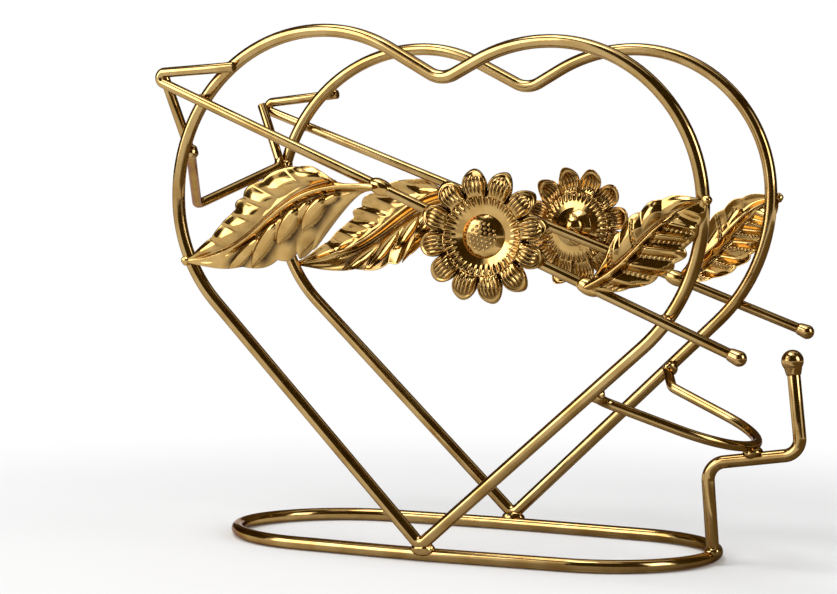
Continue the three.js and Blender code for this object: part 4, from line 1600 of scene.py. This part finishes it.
@dataclass
class Studio:
    """Pale floor, white surround, soft boxes and the camera at the photograph's angle."""

    target: Vector = field(default_factory=lambda: Vector((0.0, 0.0, 0.095)))
    camera_place: Vector = field(default_factory=lambda: Vector((0.3801, -0.8791, 0.1429)))
    camera_right: Vector = field(default_factory=lambda: Vector((0.9071, 0.4208, 0.0118)))
    camera_up: Vector = field(default_factory=lambda: Vector((-0.0324, 0.0417, 0.9986)))
    lens: float = 109.77
    lights: tuple[SoftBox, ...] = (
        SoftBox("key softbox", -41, 22, (1.0, 1.1), 13.0),
        SoftBox("top softbox", -45, 73, (1.0, 0.55), 9.0),
        SoftBox("right softbox", 80, 22, (0.6, 0.75), 7.0),
    )
    flags: tuple[Flag, ...] = (
        Flag("front flag", (-14, 66), (-6, 60)),
        Flag("left flag", (-130, -66), (2, 38)),
        Flag("high left flag", (-78, -14), (44, 55)),
        Flag("right flag", (95, 144), (-6, 46)),
        Flag("high right flag", (62, 130), (46, 78)),
        Flag("back left card", (-141, -130), (-2, 62), CARD),
        Flag("high back left card", (-130, -78), (38, 62), CARD),
        Flag("back right card", (144, 191), (-2, 62), CARD),
        Flag("back top card", (191, 219), (9, 62), CARD),
    )
    # Metres to the right of the rack's middle and towards the camera, all outside the picture
    floor_cloth: tuple[Spot, ...] = (
        (-0.17, 0.125), (0.135, 0.125), (0.275, -0.7), (1.0, -0.7), (1.0, 0.85), (-0.64, 0.85),
    )
    # Metres to the right between which the floor cloth thickens, so that no hard edge is mirrored
    cloth_feather: Spot = (-0.15, 0.15)
    floor_radius: float = 6.0
    # Metres from the rack between which the lit paper fades into the white surround
    paper_ends: Spot = (0.17, 0.42)
    fill: float = 0.45

    def build(self) -> None:
        """Builds the whole set."""
        self._build_floor()
        self._build_world()
        for light in self.lights:
            light.build(self.target)
        cloths = {FELT: matt("dark felt", FELT), CARD: matt("brown card", CARD)}
        for flag in self.flags:
            flag.build(self.target, cloths[flag.colour])
        self._build_floor_cloth()
        self._build_camera()

    @staticmethod
    def _seen(tree: bpy.types.NodeTree) -> Socket:
        """Tells what is seen or mirrored from what only gives light.

        Args:
            tree: The node tree that takes the test.

        Returns:
            1 for rays from the camera, from gloss or through glass, and 0 for the rest.
        """
        path = add_node(tree, "ShaderNodeLightPath").outputs
        seen = path["Is Camera Ray"]
        for ray in ("Is Glossy Ray", "Is Transmission Ray"):
            links = {0: seen, 1: path[ray]}
            seen = add_node(tree, "ShaderNodeMath", {"operation": "MAXIMUM"}, links).outputs[0]
        return seen

    def _paper(self) -> bpy.types.Material:
        """White seamless paper, which is lit under the rack and fades into the white surround.

        Returns:
            The new material.
        """
        material = bpy.data.materials.new("white seamless paper")
        tree = blank_tree(material)
        place = add_node(tree, "ShaderNodeTexCoord").outputs["Object"]
        reach = add_node(tree, "ShaderNodeVectorMath", {"operation": "LENGTH"}, {0: place})
        near, far = self.paper_ends
        fade = add_node(
            tree,
            "ShaderNodeMapRange",
            {"interpolation_type": "SMOOTHSTEP", "From Min": near, "From Max": far},
            {"Value": reach.outputs["Value"]},
        )
        links = {0: fade.outputs["Result"], 1: self._seen(tree)}
        share = add_node(tree, "ShaderNodeMath", {"operation": "MULTIPLY"}, links)
        paper = add_node(tree, "ShaderNodeBsdfDiffuse", {"Color": linear(PAPER)})
        white = add_node(tree, "ShaderNodeEmission", {"Color": linear(WHITE), "Strength": 1.0})
        links = {0: share.outputs[0], 1: paper.outputs[0], 2: white.outputs[0]}
        surface = add_node(tree, "ShaderNodeMixShader", links=links)
        add_node(tree, "ShaderNodeOutputMaterial", links={"Surface": surface.outputs[0]})
        return material

    def _build_floor(self) -> None:
        """Adds the pale floor that the rack stands on."""
        bm = bmesh.new()
        bmesh.ops.create_circle(bm, cap_ends=True, segments=96, radius=self.floor_radius)
        bmesh.ops.translate(bm, vec=(0, 0, -0.0002), verts=bm.verts)
        make_object(bm, "floor", self._paper())

    def _thin_cloth(self, aside: Vector) -> bpy.types.Material:
        """Loosely woven brown cloth, which thins out to the left.

        Args:
            aside: The direction to the right.

        Returns:
            The new material.
        """
        material = bpy.data.materials.new("thin brown cloth")
        tree = blank_tree(material)
        place = add_node(tree, "ShaderNodeTexCoord").outputs["Object"]
        settings = {"operation": "DOT_PRODUCT", 1: aside}
        right = add_node(tree, "ShaderNodeVectorMath", settings, {0: place})
        thin, full = self.cloth_feather
        share = add_node(
            tree,
            "ShaderNodeMapRange",
            {"interpolation_type": "SMOOTHSTEP", "From Min": thin, "From Max": full},
            {"Value": right.outputs["Value"]},
        )
        clear = add_node(tree, "ShaderNodeBsdfTransparent")
        cloth = add_node(tree, "ShaderNodeBsdfDiffuse", {"Color": linear(THIN_CLOTH)})
        links = {0: share.outputs["Result"], 1: clear.outputs[0], 2: cloth.outputs[0]}
        surface = add_node(tree, "ShaderNodeMixShader", links=links)
        add_node(tree, "ShaderNodeOutputMaterial", links={"Surface": surface.outputs[0]})
        return material

    def _build_floor_cloth(self) -> None:
        """Lays a dark cloth on the floor in front and to the right, out of the picture."""
        aside = Vector((self.camera_right.x, self.camera_right.y, 0)).normalized()
        nearer = Vector((aside.y, -aside.x, 0))
        bm = bmesh.new()
        for right, near in self.floor_cloth:
            bm.verts.new(aside * right + nearer * near + Z_AXIS * 0.0008)
        bmesh.ops.contextual_create(bm, geom=list(bm.verts))
        hang(make_object(bm, "floor cloth", self._thin_cloth(aside)))

    def _build_world(self) -> None:
        """Makes the surround white where it is seen or mirrored, and a soft grey as a light."""
        world = bpy.data.worlds.new("studio surround")
        bpy.context.scene.world = world
        tree = blank_tree(world)
        light, white = (
            add_node(tree, "ShaderNodeBackground", {"Color": linear(WHITE), "Strength": strength})
            for strength in (self.fill, 1.0)
        )
        links = {0: self._seen(tree), 1: light.outputs[0], 2: white.outputs[0]}
        surface = add_node(tree, "ShaderNodeMixShader", links=links)
        add_node(tree, "ShaderNodeOutputWorld", links={"Surface": surface.outputs[0]})

    def _build_camera(self) -> None:
        """Adds the camera where the photograph's stood."""
        camera = bpy.data.cameras.new("camera")
        camera.lens = self.lens
        camera.sensor_width = 36.0
        camera.clip_start = 0.05
        camera.clip_end = 50.0
        holder = bpy.data.objects.new("camera", camera)
        backward = self.camera_right.cross(self.camera_up)
        axes = Matrix((self.camera_right, self.camera_up, backward)).transposed().to_4x4()
        holder.matrix_world = Matrix.Translation(self.camera_place) @ axes
        bpy.context.scene.collection.objects.link(holder)
        bpy.context.scene.camera = holder


def main() -> None:
    """Loads the frame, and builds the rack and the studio."""
    logging.basicConfig(level=logging.INFO, format="%(name)s %(message)s")
    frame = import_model()
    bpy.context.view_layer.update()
    log.info("frame: %d nodes", len(frame["nodes"]))
    bpy.context.scene.view_settings.view_transform = "Standard"
    finishes = make_finishes()
    Base(finishes).build()
    Cradle(finishes).build()
    for side in both_sides(finishes):
        side.build()
    Studio().build()


if __name__ == "__main__":
    main()
